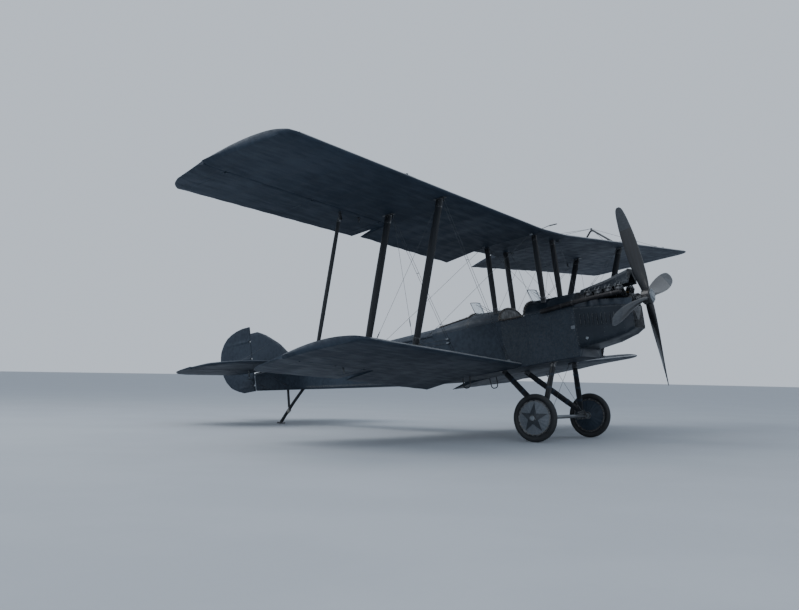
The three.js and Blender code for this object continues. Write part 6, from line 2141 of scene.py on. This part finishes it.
# Padded pieces: each swells a little under pressure, from a slimmer shape
def swollen(obj, voxel, cap, pressure=4.0):
    """Cloth recipe: remesh it, blow it up with no gravity, hold each point's travel to a cap and write
    the result back; pad() then smooths it once."""
    scene = bpy.context.scene
    bpy.context.view_layer.objects.active = obj
    remesh = obj.modifiers.new("remesh", "REMESH")
    remesh.mode = "VOXEL"
    remesh.voxel_size = voxel
    bake(obj)
    start = np.empty(len(obj.data.vertices) * 3)
    obj.data.vertices.foreach_get("co", start)
    cloth = obj.modifiers.new("cloth", "CLOTH")
    cloth.settings.use_pressure = True
    cloth.settings.uniform_pressure_force = pressure
    cloth.settings.quality = 5
    cloth.settings.tension_stiffness = 18
    cloth.settings.compression_stiffness = 18
    cloth.settings.shear_stiffness = 6
    cloth.settings.bending_stiffness = 0.6
    cloth.settings.effector_weights.gravity = 0.0
    cloth.collision_settings.use_collision = False
    cloth.point_cache.frame_start = 1
    cloth.point_cache.frame_end = 20
    for step in range(1, 21):
        scene.frame_set(step)
    bake(obj)
    end = np.empty_like(start)
    obj.data.vertices.foreach_get("co", end)
    start, end = start.reshape(-1, 3), end.reshape(-1, 3)
    move = end - start
    far = np.linalg.norm(move, axis=1)[:, None]
    end = start + move * np.minimum(1.0, cap / np.maximum(far, 1e-9))
    obj.data.vertices.foreach_set("co", end.ravel())
    scene.frame_set(1)


def bake(obj):
    """Writes an object's modifiers into its mesh."""
    made = bpy.data.meshes.new_from_object(obj.evaluated_get(bpy.context.evaluated_depsgraph_get()))
    old = obj.data
    materials = list(old.materials)
    obj.modifiers.clear()
    obj.data = made
    made.materials.clear()
    for m in materials:
        made.materials.append(m)
    made.shade_smooth()
    bpy.data.meshes.remove(old)


def pad(name, parts, voxel, cap, fill):
    obj = piece(name, parts, LEATHER, sharp=180)
    swollen(obj, voxel, cap)
    smooth = obj.modifiers.new("smooth", "SUBSURF")
    smooth.levels = smooth.render_levels = 1


COAMING_LAP = 0.004


def coaming_path(y0, crown0, y1, crown1, start):
    """The rim of a cockpit: over the decking in front, down along the side, over the decking behind
    and back along the other side. start is the angle on the decking's arch where the sides begin."""
    front = deck_arc(y0, crown0, 0.006, start, np.pi - start, 41)[::-1]
    back = deck_arc(y1, crown1, 0.006, start, np.pi - start, 41)
    run = np.linspace(0, 1, 14)[1:-1, None]
    left = front[-1] + (back[0] - front[-1]) * run
    right = back[-1] + (front[0] - back[-1]) * run
    if start < 0.1:
        for line in (left, right):
            line[:, 2] = np.minimum(line[:, 2], 0.004)
    return np.vstack([front, left, back, right])


def coamings():
    """Padded leather rolls round both cockpits, laced at even steps."""
    for name, ahead, behind, start in (("front", DECKS[0], DECKS[1], 0.05),
                                       ("rear", DECKS[1], DECKS[2], RIM_TO)):
        y0, y1 = ahead[2] - COAMING_LAP, behind[1] + COAMING_LAP
        path = coaming_path(y0, ahead[4], y1, behind[3], start)
        along = round_loop(path)
        middle = np.array([0, (y0 + y1) / 2, -0.25])
        out = path - middle
        out -= np.einsum("ij,ij->i", out, along)[:, None] * along
        out /= np.linalg.norm(out, axis=1)[:, None]
        other = np.cross(along, out)
        pad(f"{name}_coaming_pad", [loop_tube(path, circle(0.0135, 12), out, other)], 0.005, 0.005, 0.8)
        lace = []
        for k in range(0, len(path), 3):
            t = even_turns(14)
            loop = path[k] + 0.0205 * (np.cos(t)[:, None] * out[k] + np.sin(t)[:, None] * other[k])
            lace.append(loop_tube(loop, circle(0.0016, 5), along[k],
                                  np.cross(round_loop(loop), along[k])))
        piece(f"{name}_coaming_lacing", lace, CORD_YARN)


def cushions():
    """Seat cushions: crowned squabs with pulled-in corners, and a padded back for each seat."""
    for name, y in SEATS:
        u = np.linspace(-1, 1, 29)
        v = even_turns(36)
        # A superellipse section swept from side to side, smaller at its ends
        size = (1 - np.abs(u) ** 5) ** 0.35
        size[[0, -1]] = 0.12
        cy = np.sign(np.cos(v)) * np.abs(np.cos(v)) ** 0.45
        cz = np.sign(np.sin(v)) * np.abs(np.sin(v)) ** 0.8
        rings = grid_of(0.175 * u[:, None], y - 0.020 + 0.150 * size[:, None] * cy,
                        -0.3655 + 0.026 * (0.35 + 0.65 * size[:, None]) * cz)
        pad(f"{name}_seat_cushion", [tube_of(rings)], 0.006, 0.008, 0.7)
        rings = grid_of(0.165 * u[:, None], y + 0.140 + 0.011 * (0.35 + 0.65 * size[:, None]) * cz,
                        -0.215 + 0.105 * size[:, None] * cy)
        pad(f"{name}_seat_back_pad", [tube_of(rings)], 0.006, 0.006, 0.6)


coamings()
cushions()


# Floor and light
def studio():
    """A pale floor under a soft sky: two wide lamps, one high on the left and one low in front."""
    mesh = bpy.data.meshes.new("studio_floor")
    mesh.from_pydata([(-150, -150, 0), (150, -150, 0), (150, 150, 0), (-150, 150, 0)], [],
                     [(0, 1, 2, 3)])
    mesh.materials.append(FLOOR_PAINT)
    floor = bpy.data.objects.new("studio_floor", mesh)
    bpy.context.scene.collection.objects.link(floor)
    air = bpy.data.worlds.new("soft_sky")
    bpy.context.scene.world = air
    air.use_nodes = True
    sky = air.node_tree.nodes["Background"]
    sky.inputs["Color"].default_value = (0.76, 0.84, 0.95, 1)
    sky.inputs["Strength"].default_value = 0.85
    for name, at, energy, size in (("key", (-9.0, 6.0, 14.0), 1500.0, 12.0),
                                   ("fill", (-12.0, -14.0, 6.0), 380.0, 9.0)):
        data = bpy.data.lights.new(name, "AREA")
        data.energy = energy
        data.size = size
        lamp = bpy.data.objects.new(name, data)
        lamp.location = at
        way = Vector((0, -1, 1)) - Vector(at)
        lamp.rotation_euler = way.to_track_quat("-Z", "Y").to_euler()
        bpy.context.scene.collection.objects.link(lamp)


studio()
